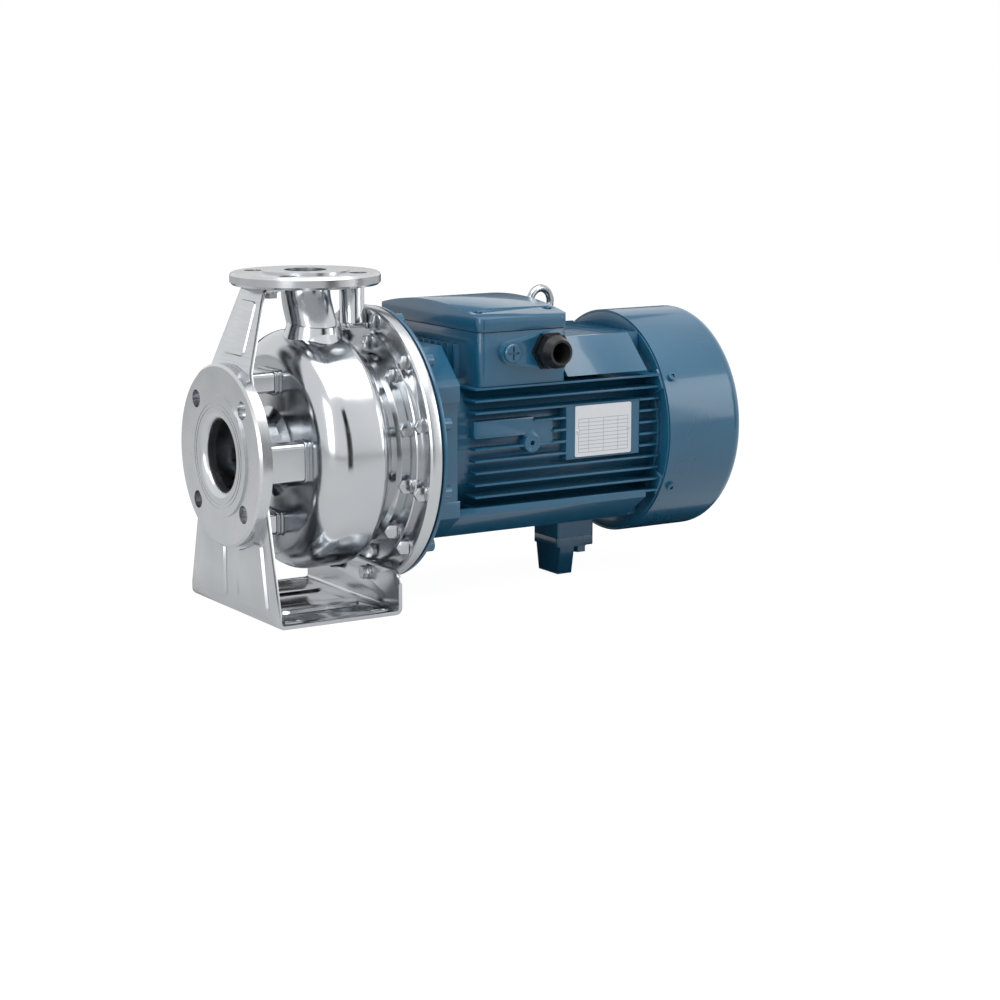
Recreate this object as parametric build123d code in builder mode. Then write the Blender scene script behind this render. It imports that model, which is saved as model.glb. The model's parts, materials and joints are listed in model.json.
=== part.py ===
from build123d import *
from math import atan2, cos, degrees, radians, sin, tan
import os

os.makedirs("parts", exist_ok=True)

# Frame
# +X runs along the shaft from the suction flange to the motor and +Z is up
# The origin lies under the foot, below the crossing of shaft axis and discharge axis
shaft_height = 160.0
discharge_rise = 180.0
suction_reach = 100.0

# Shared clearances
hole_play = 0.4
thread_play = 0.05
slip_fit = 0.2
running_gap = 0.3

# Suction flange
suction_flange_radius = 91.4
suction_flange_thickness = 15.0
suction_bore_radius = 36.0
suction_face_radius = 61.0
suction_bolt_circle = 72.5
suction_bolt_hole = 9.0
suction_bolt_count = 4
raised_face = 2.0
bore_lip = 8.0
face_groove_radii = (52.5, 48.5)
face_groove_width = 1.2
face_groove_depth = 0.6
rim_chamfer = 2.5

# Discharge flange
discharge_flange_radius = 75.4
discharge_flange_thickness = 14.2
discharge_face_radius = 44.0
discharge_bolt_circle = 55.0
discharge_bolt_hole = 9.0
discharge_bolt_count = 4

# Discharge pipe
pipe_radius = 24.5
pipe_wall = 3.2
pipe_straight = 14.0
pipe_lean = 28.0
pipe_bend_radius = 45.0
pipe_drop = 80.0
collar_wall = 2.0
collar_rise = 9.0
collar_sink = 8.0
collar_flare = 14.0

# Drum casing
casing_sheet = 3.0
suction_tube_wall = 2.5
drum_front = -41.0
drum_inset = 1.0
drum_straight_end = 27.0
waist_start = 39.0
bead_start = 49.0
bead_rise = 4.0
bead_gap = 2.0
clamp_face = 57.5
clamp_gap = 1.5
neck_chamfer = 7.0
shoulder_fillet = 28.0
rear_fillet = 14.0
waist_chamfer = 4.0
clamp_chamfer = 1.0

# Screw rings of the casing and the adapter
ring_screw_count = 12
ring_screw_start = 15.0
casing_screw_edge = 11.0
adapter_screw_edge = 9.0
washer_margin = 1.5
washer_thickness = 1.6
m8_across = 13.0
m8_head = 5.3
m8_radius = 4.0
casing_screw_grip = 12.0
adapter_screw_grip = 10.0

# Back cover
cover_sheet = 2.5
cover_clearance = 0.4
cover_face = 28.0
seal_chamber_radius = 40.0
seal_chamber_depth = 18.0
seat_pocket_radius = 26.0
seat_pocket_depth = 12.0
cover_shaft_gap = 3.0
adapter_recess = 4.5

# Adapter ring
adapter_radius = 140.5
adapter_thickness = 14.0
adapter_bore_radius = 60.0
adapter_rim_chamfer = 2.0

# Foot sheet
foot_sheet = 4.0
foot_half_width = 98.0
foot_rear = 53.4
foot_rear_margin = 11.0
foot_corner = 14.0
foot_bend_radius = 7.0
arm_bend_height = 86.0
arm_top_half_width = 24.0
arm_top_setback = 26.0
arm_tab = 24.0
taper_start_height = 14.0
slot_pitch_x = 95.0
slot_pitch_y = 172.0
slot_length = 20.0
slot_width = 12.0
slot_centre_x = -14.5
bead_length = 98.0
bead_width = 30.0
bead_height = 3.0
bead_pitch = 78.0
panel_height = 2.5
panel_inner = 16.0
panel_bottom = 12.0
arm_screw_pitch = 26.0
arm_screw_inset = 13.0
arm_bend_radius = 18.0
arm_screw_grip = 10.0
arm_panel_margin = 24.0
arm_panel_inset = 4.0
arm_panel_slope = 86.0
arm_panel_height = 1.5
panel_draft = 30.0
panel_round = 6.0
lower_panel_slope = 13.0
lower_panel_edge = 19.0
bead_draft = 35.0
bead_wall = 3.0

# Stays
stay_width = 38.0
stay_depth = 22.0
stay_edge = 50.0
stay_wall = 3.0
stay_round = 5.0
stay_foot = 4.0
stay_foot_margin = 1.2
post_radius = 12.5
post_wall = 2.5
post_setback = 8.2
post_y = -6.0
post_pad = 3.0
post_pad_half = 13.0

# Shaft
nose_radius = 8.0
nose_length = 18.0
impeller_seat_radius = 12.0
seal_shaft_radius = 14.0
bearing_bore_radius = 15.0
shaft_body_radius = 21.0
fan_seat_radius = 12.0
hub_front = -8.0
seal_step = 24.0
bearing_step = 96.0
core_step = 128.0
core_step_end = 330.0
fan_step = 356.0
shaft_end = 408.0

# Impeller
volute_gap = 16.0
impeller_outlet = 8.0
impeller_shroud = 3.0
impeller_eye_radius = 32.5
impeller_neck_wall = 3.0
neck_end_gap = 2.0
impeller_neck_rear = -16.0
impeller_hub_radius = 18.0
impeller_vane_count = 6
impeller_vane_thickness = 3.0
impeller_vane_start_radius = 34.0
impeller_vane_sweep = 100.0
wear_ring_wall = 9.0
wear_ring_length = 12.0
key_width = 8.0
key_height = 7.0
key_length = 24.0
impeller_nut_across = 24.0
impeller_nut_height = 13.0
impeller_washer_thickness = 3.0
impeller_washer_radius = 15.0

# Shaft seal
seat_length = 7.0
seat_ring_wall = 5.5
seal_face_length = 7.0
seal_collar_length = 4.0
seal_collar_wall = 4.5
seal_face_wall = 4.0
bellows_wall = 5.0
seat_seal_gap = 1.5
seat_rear_gap = 1.0
seal_face_lip = 2.0
slinger_gap = 12.0
slinger_wall = 9.0
slinger_length = 6.0

# Motor bracket
bracket_seam = 1.5
bracket_rim_inset = 1.0
bracket_flange = 3.5
bracket_web = 12.0
bracket_end = 118.0
bracket_bore_radius = 82.0
bracket_window_half = 50.0
bracket_window_depth = 5.0
screw_boss_radius = 7.0
bearing_wall = 8.0
bearing_outer_radius = 36.0
bearing_width = 19.0
bearing_race = 6.0
bearing_shield = 1.2
bearing_shield_inset = 0.6
bearing_front = 99.0
bearing_rear = 333.0
slinger_play = 2.0

# Motor housing
frame_bore_radius = 85.0
frame_wall = 7.0
frame_half = 103.0
frame_drop = 93.0
frame_end = 362.0
fin_start = 136.0
pad_end = 346.0
fin_pitch = 12.2
fin_thickness = 3.0
fin_count = 11
corner_reach = 36.0
corner_wall = 7.0
plate_block_length = 91.0
plate_block_height = 57.0
plate_block_drop = 1.0
side_block_x = 213.0
side_block_z = 12.0
side_block_length = 34.0
side_block_height = 24.0
rail_block_length = 71.0
rail_block_z = 20.0
rail_block_height = 16.0
low_block_drop = 3.0
side_boss_x = 203.6
side_boss_z = 2.0
side_boss_radius = 9.5
side_boss_reach = 1.2
side_plug_radius = 6.0
side_socket_across = 5.0
support_pad_start = 287.0
support_pad_end = 334.5
support_pad_half = 24.0
support_pad_depth = 27.0
support_pad_round = 4.0
eye_boss_radius = 11.0
eye_boss_height = 8.0
eye_x = 279.3

# Motor support leg
leg_flange = 10.0
leg_thickness = 18.0
leg_bottom_half = 18.5
leg_inset = 4.0
leg_screw_x = 321.0
leg_screw_pitch = 24.0
m10_across = 16.0
m10_head = 6.4
m10_radius = 5.0
leg_screw_grip = 22.0

# Stator and rotor
core_start = 160.0
core_length = 140.0
stator_bore_radius = 52.0
air_gap = 0.5
stator_slot_count = 24
slot_depth = 18.0
slot_half_width = 3.6
winding_overhang = 24.0
end_ring_length = 14.0
end_ring_depth = 16.0

# Rear end shield, fan and fan cover
shield_thickness = 9.0
shield_hub_wall = 8.0
shield_radius = 100.0
lug_reach = 14.5
lug_root = 3.0
lug_half = 11.0
lug_length = 14.0
shield_screw_count = 4
cover_radius = 120.0
cover_wall = 2.5
cover_start = 365.0
cover_end = 462.0
cover_round = 14.0
grille_rings = 6
grille_inner = 24.0
grille_slot = 7.0
grille_bar = 7.5
grille_spokes = 6
grille_spoke_width = 9.0
cover_screw_angle = 29.0
cover_screw_x = 376.0
m6_across = 10.0
m6_head = 4.0
m6_radius = 3.0
m5_radius = 2.5
m5_head_radius = 4.8
m5_head = 3.2
fan_hub_radius = 22.0
fan_hub_length = 18.0
fan_disc_radius = 70.0
fan_disc = 3.0
fan_radius = 104.0
fan_blade_count = 7
fan_blade_length = 34.0
fan_blade = 3.0
circlip_wall = 3.0
circlip_thickness = 1.2
circlip_depth = 1.0
cover_screw_length = 14.0
shield_screw_grip = 14.0

# Terminal box
box_start = 142.0
box_length = 105.0
box_half_width = 101.0
box_height = 117.0
box_wall = 4.5
box_floor = 4.0
box_round = 7.0
gasket_thickness = 1.0
lid_edge = 13.0
lid_crown = 12.0
lid_wall = 3.5
lid_overhang = 1.0
lid_screw_inset_x = 11.0
lid_screw_inset_y = 22.0
lid_screw_post = 7.0
lid_screw_sink = 3.5
box_screw_depth = 9.0
entry_boss = 7.0
gland_x = 220.0
entry_height = 96.0
gland_boss_radius = 19.0
plug_x = 176.0
plug_boss_radius = 12.0
gland_thread_radius = 15.0
gland_bore_radius = 10.5
gland_hex_across = 36.0
gland_hex = 5.0
gland_nut_gap = 1.0
gland_nut_length = 18.0
gland_nut_radius = 19.0
gland_dome = 9.0
gland_dome_draft = 24.0
gland_seal_inset = 1.0
gland_tail = 10.0
gland_neck = 9.0
gland_seal_wall = 2.5
plug_radius = 9.5
plug_thread_radius = 8.0
plug_chamfer = 1.0
plug_head = 3.5
plug_slot = 2.0
board_length = 52.0
board_width = 56.0
board_thickness = 6.0
stud_radius = 2.5
stud_height = 12.0
stud_nut_across = 8.0
stud_nut_height = 4.0
stud_pitch_x = 16.0
stud_pitch_y = 28.0

# Lifting eye and nameplate
eye_ring_radius = 14.0
eye_wire_radius = 4.0
eye_base_radius = 10.0
eye_base_height = 6.0
eye_thread_radius = 4.0
eye_thread_length = 13.0
eye_turn = 8.0
eye_sink = 1.5
eye_base_draft = 12.0
plate_length = 70.0
plate_height = 53.0
plate_thickness = 0.8
plate_x = 291.5
plate_z = 9.0
rivet_radius = 2.2
rivet_head = 1.2
rivet_inset = 3.5


def station(x):
    """Plane across the shaft at x, with +Y to its right and +Z up."""
    return Plane(origin=(x, 0, shaft_height), x_dir=(0, 1, 0), z_dir=(1, 0, 0))


def facing_pump(x):
    """Plane across the shaft at x that looks toward the suction side, with +Z up."""
    return Plane(origin=(x, 0, shaft_height), x_dir=(0, -1, 0), z_dir=(-1, 0, 0))


def turned(spot):
    """Place of a feature that points away from the shaft."""
    return Location((spot[0], spot[1], 0), (0, 0, degrees(atan2(spot[1], spot[0]))))


def lug_plane(angle):
    """Plane touching the fan cover from outside over a lug, facing outward."""
    outward = Vector(0, cos(radians(angle)), sin(radians(angle)))
    return Plane(origin=Vector(cover_screw_x, 0, shaft_height) + outward * cover_radius, x_dir=(1, 0, 0), z_dir=outward)


def polar_spots(radius, count, start):
    """Points evenly spaced on a circle."""
    turns = [radians(start + 360.0 / count * index) for index in range(count)]
    return [(radius * cos(turn), radius * sin(turn)) for turn in turns]


def ring(inner, outer, start, length):
    """Plain ring about the shaft."""
    with BuildPart() as piece:
        with BuildSketch(station(start)):
            Circle(outer)
            Circle(inner, mode=Mode.SUBTRACT)
        extrude(amount=length)
    return piece


def hex_screws(plane, spots, across, head, radius, length):
    """Hexagon screws with washers that stand on the plane and shanks that go below it."""
    with BuildPart() as screws:
        with BuildSketch(plane):
            with Locations(*spots):
                Circle(across / 2 + washer_margin)
        extrude(amount=washer_thickness)
        with BuildSketch(plane.offset(washer_thickness)):
            with Locations(*spots):
                RegularPolygon(across / 2, 6, major_radius=False)
        extrude(amount=head)
        with BuildSketch(plane):
            with Locations(*spots):
                Circle(radius)
        extrude(amount=-length)
    return screws


def round_screws(plane, spots, head_radius, head, radius, length, drive):
    """Pan head screws with a square drive recess."""
    with BuildPart() as screws:
        with BuildSketch(plane):
            with Locations(*spots):
                Circle(head_radius)
        extrude(amount=head)
        with BuildSketch(plane):
            with Locations(*spots):
                Circle(radius)
        extrude(amount=-length)
        with BuildSketch(plane.offset(head)):
            with Locations(*spots):
                Rectangle(drive, drive)
        extrude(amount=-head / 2, mode=Mode.SUBTRACT)
    return screws


shaft_axis = Axis((0, 0, shaft_height), (1, 0, 0))
shaft_plane = Plane(origin=(0, 0, shaft_height), x_dir=(1, 0, 0), z_dir=(0, -1, 0))
side_plane = Plane(origin=(0, 0, 0), x_dir=(1, 0, 0), z_dir=(0, -1, 0))
suction_face = -suction_reach
suction_back = suction_face + suction_flange_thickness
suction_tube_radius = suction_bore_radius + suction_tube_wall
discharge_face = shaft_height + discharge_rise
discharge_back = discharge_face - discharge_flange_thickness
washer_radius = m8_across / 2 + washer_margin
adapter_screw_circle = adapter_radius - adapter_screw_edge
clamp_radius = adapter_screw_circle - washer_radius - clamp_gap
casing_screw_circle = clamp_radius - casing_screw_edge
bead_radius = casing_screw_circle - washer_radius - bead_gap
waist_radius = bead_radius - bead_rise
drum_radius = clamp_radius - drum_inset
impeller_radius = drum_radius - casing_sheet - volute_gap
stay_centre_radius = drum_radius - stay_edge
post_x = clamp_face - post_setback
bracket_radius = adapter_radius - bracket_rim_inset
cover_rim_face = clamp_face + casing_sheet
adapter_front = cover_rim_face + cover_sheet
adapter_rear = adapter_front + adapter_thickness
casing_screw_spots = polar_spots(casing_screw_circle, ring_screw_count, ring_screw_start)
outer_spots = polar_spots(adapter_screw_circle, ring_screw_count, ring_screw_start)
foot_screw_spots = sorted(outer_spots, key=lambda spot: spot[1])[:2]
adapter_screw_spots = sorted(outer_spots, key=lambda spot: spot[1])[2:]
foot_rear_height = shaft_height + foot_screw_spots[0][1] + foot_rear_margin

# Suction flange with raised face, rounded bore and two fine grooves
with BuildPart() as suction_flange:
    with BuildSketch(shaft_plane):
        with BuildLine():
            Polyline(
                (suction_back, suction_bore_radius),
                (suction_face, suction_bore_radius),
                (suction_face, suction_face_radius),
                (suction_face + raised_face, suction_face_radius),
                (suction_face + raised_face, suction_flange_radius - rim_chamfer),
                (suction_face + raised_face + rim_chamfer, suction_flange_radius),
                (suction_back, suction_flange_radius),
                close=True,
            )
        make_face()
        fillet(vertices().group_by(Axis.Y)[0].sort_by(Axis.X)[0], bore_lip)
    revolve(axis=shaft_axis)
    with BuildSketch(station(suction_face)):
        for groove_radius in face_groove_radii:
            Circle(groove_radius + face_groove_width / 2)
            Circle(groove_radius - face_groove_width / 2, mode=Mode.SUBTRACT)
    extrude(amount=face_groove_depth, mode=Mode.SUBTRACT)
    with BuildSketch(station(suction_face)):
        with PolarLocations(suction_bolt_circle, suction_bolt_count, start_angle=45):
            Circle(suction_bolt_hole)
    extrude(amount=suction_flange_thickness, mode=Mode.SUBTRACT)

# Discharge flange with raised face
with BuildPart() as discharge_flange:
    with BuildSketch(Plane.XY.offset(discharge_back)):
        Circle(discharge_flange_radius)
    extrude(amount=discharge_flange_thickness - raised_face)
    chamfer(faces().sort_by(Axis.Z)[-1].edges(), rim_chamfer)
    chamfer(faces().sort_by(Axis.Z)[0].edges(), rim_chamfer)
    with BuildSketch(Plane.XY.offset(discharge_face)):
        Circle(discharge_face_radius)
    extrude(amount=-raised_face)
    with BuildSketch(Plane.XY.offset(discharge_face)):
        Circle(pipe_radius - pipe_wall)
        with PolarLocations(discharge_bolt_circle, discharge_bolt_count, start_angle=45):
            Circle(discharge_bolt_hole)
    extrude(amount=-discharge_flange_thickness, mode=Mode.SUBTRACT)

# Outline of the drum casing over its whole inside, from the suction tube to the clamp flange
with BuildSketch(shaft_plane) as casing_outline:
    with BuildLine():
        Polyline(
            (suction_back, 0),
            (suction_back, suction_tube_radius),
            (drum_front, suction_tube_radius),
            (drum_front, drum_radius),
            (drum_straight_end, drum_radius),
            (waist_start, waist_radius),
            (bead_start, waist_radius),
            (bead_start + bead_rise, bead_radius),
            (clamp_face, bead_radius),
            (clamp_face, clamp_radius),
            (cover_rim_face, clamp_radius),
            (cover_rim_face, 0),
            close=True,
        )
    make_face()
    fillet(vertices().sort_by_distance((drum_front, drum_radius))[0], shoulder_fillet)
    fillet(vertices().sort_by_distance((drum_straight_end, drum_radius))[0], rear_fillet)
    chamfer(vertices().sort_by_distance((drum_front, suction_tube_radius))[0], neck_chamfer)
    chamfer(vertices().sort_by_distance((waist_start, waist_radius))[0], waist_chamfer)
    chamfer(vertices().sort_by_distance((clamp_face, clamp_radius))[0], clamp_chamfer)

# Solid shape of the whole casing, used to trim what is welded to it
with BuildPart() as casing_envelope:
    revolve(casing_outline.sketch, axis=shaft_axis)

# Route of the discharge pipe, straight under the flange and then leaning to the drum
lean_sine = sin(radians(pipe_lean))
lean_cosine = cos(radians(pipe_lean))
bend_height = discharge_back - pipe_straight
with BuildPart() as discharge_passage:
    with BuildLine(Plane.YZ) as pipe_route:
        FilletPolyline(
            (0, discharge_back),
            (0, bend_height),
            (-pipe_drop * lean_sine, bend_height - pipe_drop * lean_cosine),
            radius=pipe_bend_radius,
        )
    with BuildSketch(Plane.XY.offset(discharge_back)):
        Circle(pipe_radius - pipe_wall)
    sweep(path=pipe_route.line)

# Place where the axis of the pipe meets the drum, and the plane of its collar there
entry_rise = bend_height - shaft_height
entry_reach = entry_rise * lean_cosine - (drum_radius**2 - (entry_rise * lean_sine) ** 2) ** 0.5
entry_turn = atan2(entry_reach * lean_sine, entry_rise - entry_reach * lean_cosine)
entry_direction = Vector(0, -sin(entry_turn), cos(entry_turn))
collar_plane = Plane(
    origin=Vector(0, 0, shaft_height) + entry_direction * (drum_radius + collar_rise),
    z_dir=entry_direction * -1,
)

# Discharge pipe with the flared collar that joins it to the drum
with BuildPart() as discharge_pipe:
    with BuildSketch(Plane.XY.offset(discharge_back)):
        Circle(pipe_radius)
    sweep(path=pipe_route.line)
    with BuildSketch(collar_plane):
        Circle(pipe_radius + collar_wall)
    extrude(amount=collar_rise + collar_sink, taper=-collar_flare)
    add(discharge_passage.part, mode=Mode.SUBTRACT)
    add(casing_envelope.part, mode=Mode.SUBTRACT)

# Pressed drum casing with suction tube, waist, bead and clamp flange
rear_turn = atan2(drum_radius - waist_radius, waist_start - drum_straight_end)
slope_shift = casing_sheet * tan(rear_turn / 2)
inner_chamfer = (shoulder_fillet - casing_sheet) * (2 - 2**0.5)
inner_front = drum_front + casing_sheet
inner_radius = drum_radius - casing_sheet
with BuildPart() as pump_casing:
    add(casing_envelope.part)
    with BuildSketch(shaft_plane):
        with BuildLine():
            Polyline(
                (suction_back, 0),
                (suction_back, suction_bore_radius),
                (inner_front, suction_bore_radius),
                (inner_front, inner_radius - inner_chamfer),
                (inner_front + inner_chamfer, inner_radius),
                (drum_straight_end - slope_shift - casing_sheet, inner_radius),
                (drum_straight_end - slope_shift, inner_radius - casing_sheet),
                (waist_start - slope_shift, waist_radius - casing_sheet),
                (bead_start + casing_sheet, waist_radius - casing_sheet),
                (bead_start + casing_sheet, bead_radius - casing_sheet),
                (cover_rim_face, bead_radius - casing_sheet),
                (cover_rim_face, 0),
                close=True,
            )
        make_face()
    revolve(axis=shaft_axis, mode=Mode.SUBTRACT)
    add(discharge_passage.part, mode=Mode.SUBTRACT)
    with BuildSketch(station(clamp_face)):
        with Locations(*casing_screw_spots):
            Circle(m8_radius + hole_play)
    extrude(amount=casing_sheet, mode=Mode.SUBTRACT)

# Foot bent from one sheet: base, front plate, leaning arm with its tab, and rear plate
arm_top_x = suction_back + arm_top_setback
arm_bend_z = shaft_height + arm_bend_height
with BuildPart() as foot_bracket:
    with BuildSketch(side_plane):
        with BuildLine():
            FilletPolyline(
                (foot_rear, foot_rear_height),
                (foot_rear, 0),
                (suction_back, 0),
                (suction_back, arm_bend_z),
                (arm_top_x, discharge_back),
                (arm_top_x + arm_tab, discharge_back),
                radius=[foot_bend_radius, foot_bend_radius, arm_bend_radius, foot_bend_radius],
            )
            offset(amount=foot_sheet, side=Side.RIGHT, closed=True)
        make_face()
    extrude(amount=foot_half_width, both=True)
    with BuildSketch(Plane.YZ.offset(suction_back - 1)):
        for hand in (-1, 1):
            with BuildLine():
                Polyline(
                    (hand * foot_half_width, taper_start_height),
                    (hand * arm_top_half_width, discharge_back - foot_sheet),
                    (hand * arm_top_half_width, discharge_back + 1),
                    (hand * (foot_half_width + 1), discharge_back + 1),
                    (hand * (foot_half_width + 1), taper_start_height),
                    close=True,
                )
            make_face()
    extrude(amount=arm_top_setback + arm_tab + 2, mode=Mode.SUBTRACT)
    rear_corners = edges().filter_by(Axis.X).filter_by(lambda edge: edge.center().X > foot_rear - foot_sheet)
    fillet(rear_corners.group_by(Axis.Z)[-1], foot_corner)
    with BuildSketch(station(suction_back)):
        Circle(suction_tube_radius + hole_play)
        with PolarLocations(suction_bolt_circle, suction_bolt_count, start_angle=45):
            Circle(suction_bolt_hole + 2 * hole_play)
    extrude(amount=foot_sheet, mode=Mode.SUBTRACT)
    with BuildSketch(Plane.YZ.offset(suction_back)) as lower_panels:
        for hand in (-1, 1):
            with BuildLine():
                Polyline(
                    (hand * panel_inner, panel_bottom),
                    (hand * (foot_half_width - lower_panel_edge), panel_bottom),
                    (hand * (foot_half_width - lower_panel_edge - lower_panel_slope), shaft_height / 2),
                    (hand * panel_inner, shaft_height / 2),
                    close=True,
                )
            make_face()
        fillet(vertices(), panel_round)
        with Locations((0, shaft_height)):
            Circle(suction_flange_radius + panel_height, mode=Mode.SUBTRACT)
    extrude(amount=-panel_height, taper=panel_draft)
    inner_panels = lower_panels.sketch.moved(Location((foot_sheet, 0, 0)))
    extrude(inner_panels, amount=-panel_height, taper=panel_draft, mode=Mode.SUBTRACT)
    arm_slope = degrees(atan2(arm_top_setback, discharge_back - arm_bend_z))
    arm_middle = Vector((suction_back + arm_top_x) / 2, 0, (arm_bend_z + discharge_back) / 2)
    arm_face = Plane(
        origin=arm_middle,
        x_dir=(0, -1, 0),
        z_dir=(-cos(radians(arm_slope)), 0, sin(radians(arm_slope))),
    )
    with BuildSketch(arm_face):
        Trapezoid(
            2 * arm_top_half_width - arm_panel_inset,
            discharge_back - arm_bend_z - arm_panel_margin,
            arm_panel_slope,
        )
        fillet(vertices(), panel_round)
    extrude(amount=arm_panel_height, taper=panel_draft)
    with BuildSketch(Plane.XY.offset(foot_sheet)):
        with Locations((slot_centre_x, 0)):
            with GridLocations(0, bead_pitch, 1, 2):
                SlotOverall(bead_length, bead_width)
    extrude(amount=bead_height, taper=bead_draft)
    with BuildSketch(Plane.XY):
        with Locations((slot_centre_x, 0)):
            with GridLocations(0, bead_pitch, 1, 2):
                SlotOverall(bead_length - 2 * bead_wall, bead_width - 2 * bead_wall)
    extrude(amount=bead_height, taper=bead_draft, mode=Mode.SUBTRACT)
    with BuildSketch(Plane.XY):
        with Locations((slot_centre_x, 0)):
            with GridLocations(slot_pitch_x, slot_pitch_y, 2, 2):
                SlotOverall(slot_length, slot_width)
    extrude(amount=foot_sheet, mode=Mode.SUBTRACT)
    with BuildSketch(station(foot_rear)):
        with Locations(*foot_screw_spots):
            Circle(m8_radius + hole_play)
    extrude(amount=-foot_sheet, mode=Mode.SUBTRACT)
    with BuildSketch(Plane.XY.offset(discharge_back)):
        with Locations((arm_top_x + arm_screw_inset, 0)):
            with GridLocations(0, arm_screw_pitch, 1, 2):
                Circle(m8_radius + hole_play)
    extrude(amount=-foot_sheet, mode=Mode.SUBTRACT)

# Screws that hold the arm under the discharge flange
arm_screw_spots = [(arm_top_x + arm_screw_inset, hand * arm_screw_pitch / 2) for hand in (-1, 1)]
arm_screws = hex_screws(
    Plane(origin=(0, 0, discharge_back - foot_sheet), x_dir=(1, 0, 0), z_dir=(0, 0, -1)),
    arm_screw_spots,
    m8_across,
    m8_head,
    m8_radius,
    foot_sheet + arm_screw_grip,
)
with BuildPart() as discharge_flange_tapped:
    add(discharge_flange.part)
    with BuildSketch(Plane.XY.offset(discharge_back)):
        with Locations(*arm_screw_spots):
            Circle(m8_radius + thread_play)
    extrude(amount=arm_screw_grip, mode=Mode.SUBTRACT)

# Four pressed stays between the front plate and the drum
with BuildPart() as suction_stays:
    with BuildSketch(station(suction_back + foot_sheet)):
        with PolarLocations(stay_centre_radius, 4):
            RectangleRounded(stay_depth, stay_width, stay_round)
            with Locations((-stay_wall, 0)):
                Rectangle(stay_depth, stay_width - 2 * stay_wall, mode=Mode.SUBTRACT)
    extrude(amount=drum_front - suction_back - foot_sheet)
    with BuildSketch(station(drum_front)):
        with PolarLocations(stay_centre_radius, 4):
            RectangleRounded(stay_depth + 2 * stay_foot_margin, stay_width + 2 * stay_foot_margin, stay_round)
            with Locations((-stay_wall, 0)):
                Rectangle(stay_depth, stay_width - 2 * stay_wall, mode=Mode.SUBTRACT)
    extrude(amount=-stay_foot)

# Tube stay under the discharge flange with the pad on the clamp flange
post_pad_top = shaft_height + clamp_radius + post_pad
with BuildPart() as discharge_stay:
    with BuildSketch(Plane.XY.offset(post_pad_top)):
        with Locations((post_x, post_y)):
            Circle(post_radius)
            Circle(post_radius - post_wall, mode=Mode.SUBTRACT)
    extrude(amount=discharge_back - post_pad_top)
    with BuildSketch(Plane.XY.offset(post_pad_top)):
        with Locations((post_x, post_y)):
            RectangleRounded(2 * post_pad_half, 2 * post_pad_half, 4)
    extrude(amount=-2 * post_pad)
    with BuildSketch(station(post_x - post_pad_half)):
        Circle(clamp_radius)
    extrude(amount=2 * post_pad_half, mode=Mode.SUBTRACT)

# Casing screws, adapter screws and the foot screws with their sleeves
casing_bolts = hex_screws(
    facing_pump(clamp_face),
    casing_screw_spots,
    m8_across,
    m8_head,
    m8_radius,
    casing_sheet + cover_sheet + casing_screw_grip,
)
adapter_bolts = hex_screws(
    facing_pump(adapter_front),
    adapter_screw_spots,
    m8_across,
    m8_head,
    m8_radius,
    adapter_thickness + adapter_screw_grip,
)
foot_bolts = hex_screws(
    facing_pump(foot_rear - foot_sheet),
    foot_screw_spots,
    m8_across,
    m8_head,
    m8_radius,
    foot_sheet + adapter_front - foot_rear + adapter_thickness + adapter_screw_grip,
)
with BuildPart() as foot_spacers:
    with BuildSketch(station(foot_rear)):
        with Locations(*foot_screw_spots):
            Circle(m8_across / 2 + 1)
            Circle(m8_radius + hole_play, mode=Mode.SUBTRACT)
    extrude(amount=adapter_front - foot_rear)

# Back cover, dished behind the impeller, with seal chamber and seat pocket
cover_wall_radius = waist_radius - casing_sheet - cover_clearance
pocket_front = cover_face + seal_chamber_depth
with BuildPart() as back_cover:
    with BuildSketch(shaft_plane):
        with BuildLine():
            Polyline(
                (cover_rim_face, clamp_radius),
                (cover_rim_face, cover_wall_radius),
                (cover_face, cover_wall_radius),
                (cover_face, seal_chamber_radius),
                (pocket_front, seal_chamber_radius),
                (pocket_front, seat_pocket_radius),
                (pocket_front + seat_pocket_depth, seat_pocket_radius),
                (pocket_front + seat_pocket_depth, seal_shaft_radius + cover_shaft_gap),
            )
            offset(amount=cover_sheet, kind=Kind.INTERSECTION, side=Side.LEFT, closed=True)
        make_face()
    revolve(axis=shaft_axis)
    with BuildSketch(station(cover_rim_face)):
        with Locations(*casing_screw_spots):
            Circle(m8_radius + hole_play)
    extrude(amount=cover_sheet, mode=Mode.SUBTRACT)

# Casing O-ring in the groove between bead and back cover
o_ring_section = (bead_radius - casing_sheet - cover_wall_radius) / 2
with BuildPart() as casing_o_ring:
    with BuildSketch(shaft_plane):
        with Locations((clamp_face - o_ring_section, cover_wall_radius + o_ring_section)):
            RegularPolygon(o_ring_section - thread_play, 8)
    revolve(axis=shaft_axis)

# Adapter ring between casing and motor
with BuildPart() as adapter_ring:
    with BuildSketch(station(adapter_front)):
        Circle(adapter_radius)
        Circle(adapter_bore_radius, mode=Mode.SUBTRACT)
    extrude(amount=adapter_thickness)
    chamfer(edges().filter_by(GeomType.CIRCLE).sort_by(SortBy.RADIUS)[-2:], adapter_rim_chamfer)
    with BuildSketch(station(adapter_front)):
        Circle(cover_wall_radius + cover_sheet)
    extrude(amount=adapter_recess, mode=Mode.SUBTRACT)
    with BuildSketch(station(adapter_front)):
        with Locations(*outer_spots):
            Circle(m8_radius + hole_play)
    extrude(amount=adapter_thickness, mode=Mode.SUBTRACT)
    with BuildSketch(station(adapter_front)):
        with Locations(*casing_screw_spots):
            Circle(m8_radius + thread_play)
    extrude(amount=casing_screw_grip, mode=Mode.SUBTRACT)

# Wear ring behind the front wall of the drum
neck_outer = impeller_eye_radius + impeller_neck_wall
impeller_neck_front = inner_front + neck_end_gap
wear_ring = ring(
    neck_outer + running_gap,
    neck_outer + running_gap + wear_ring_wall,
    inner_front,
    wear_ring_length,
)

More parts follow.
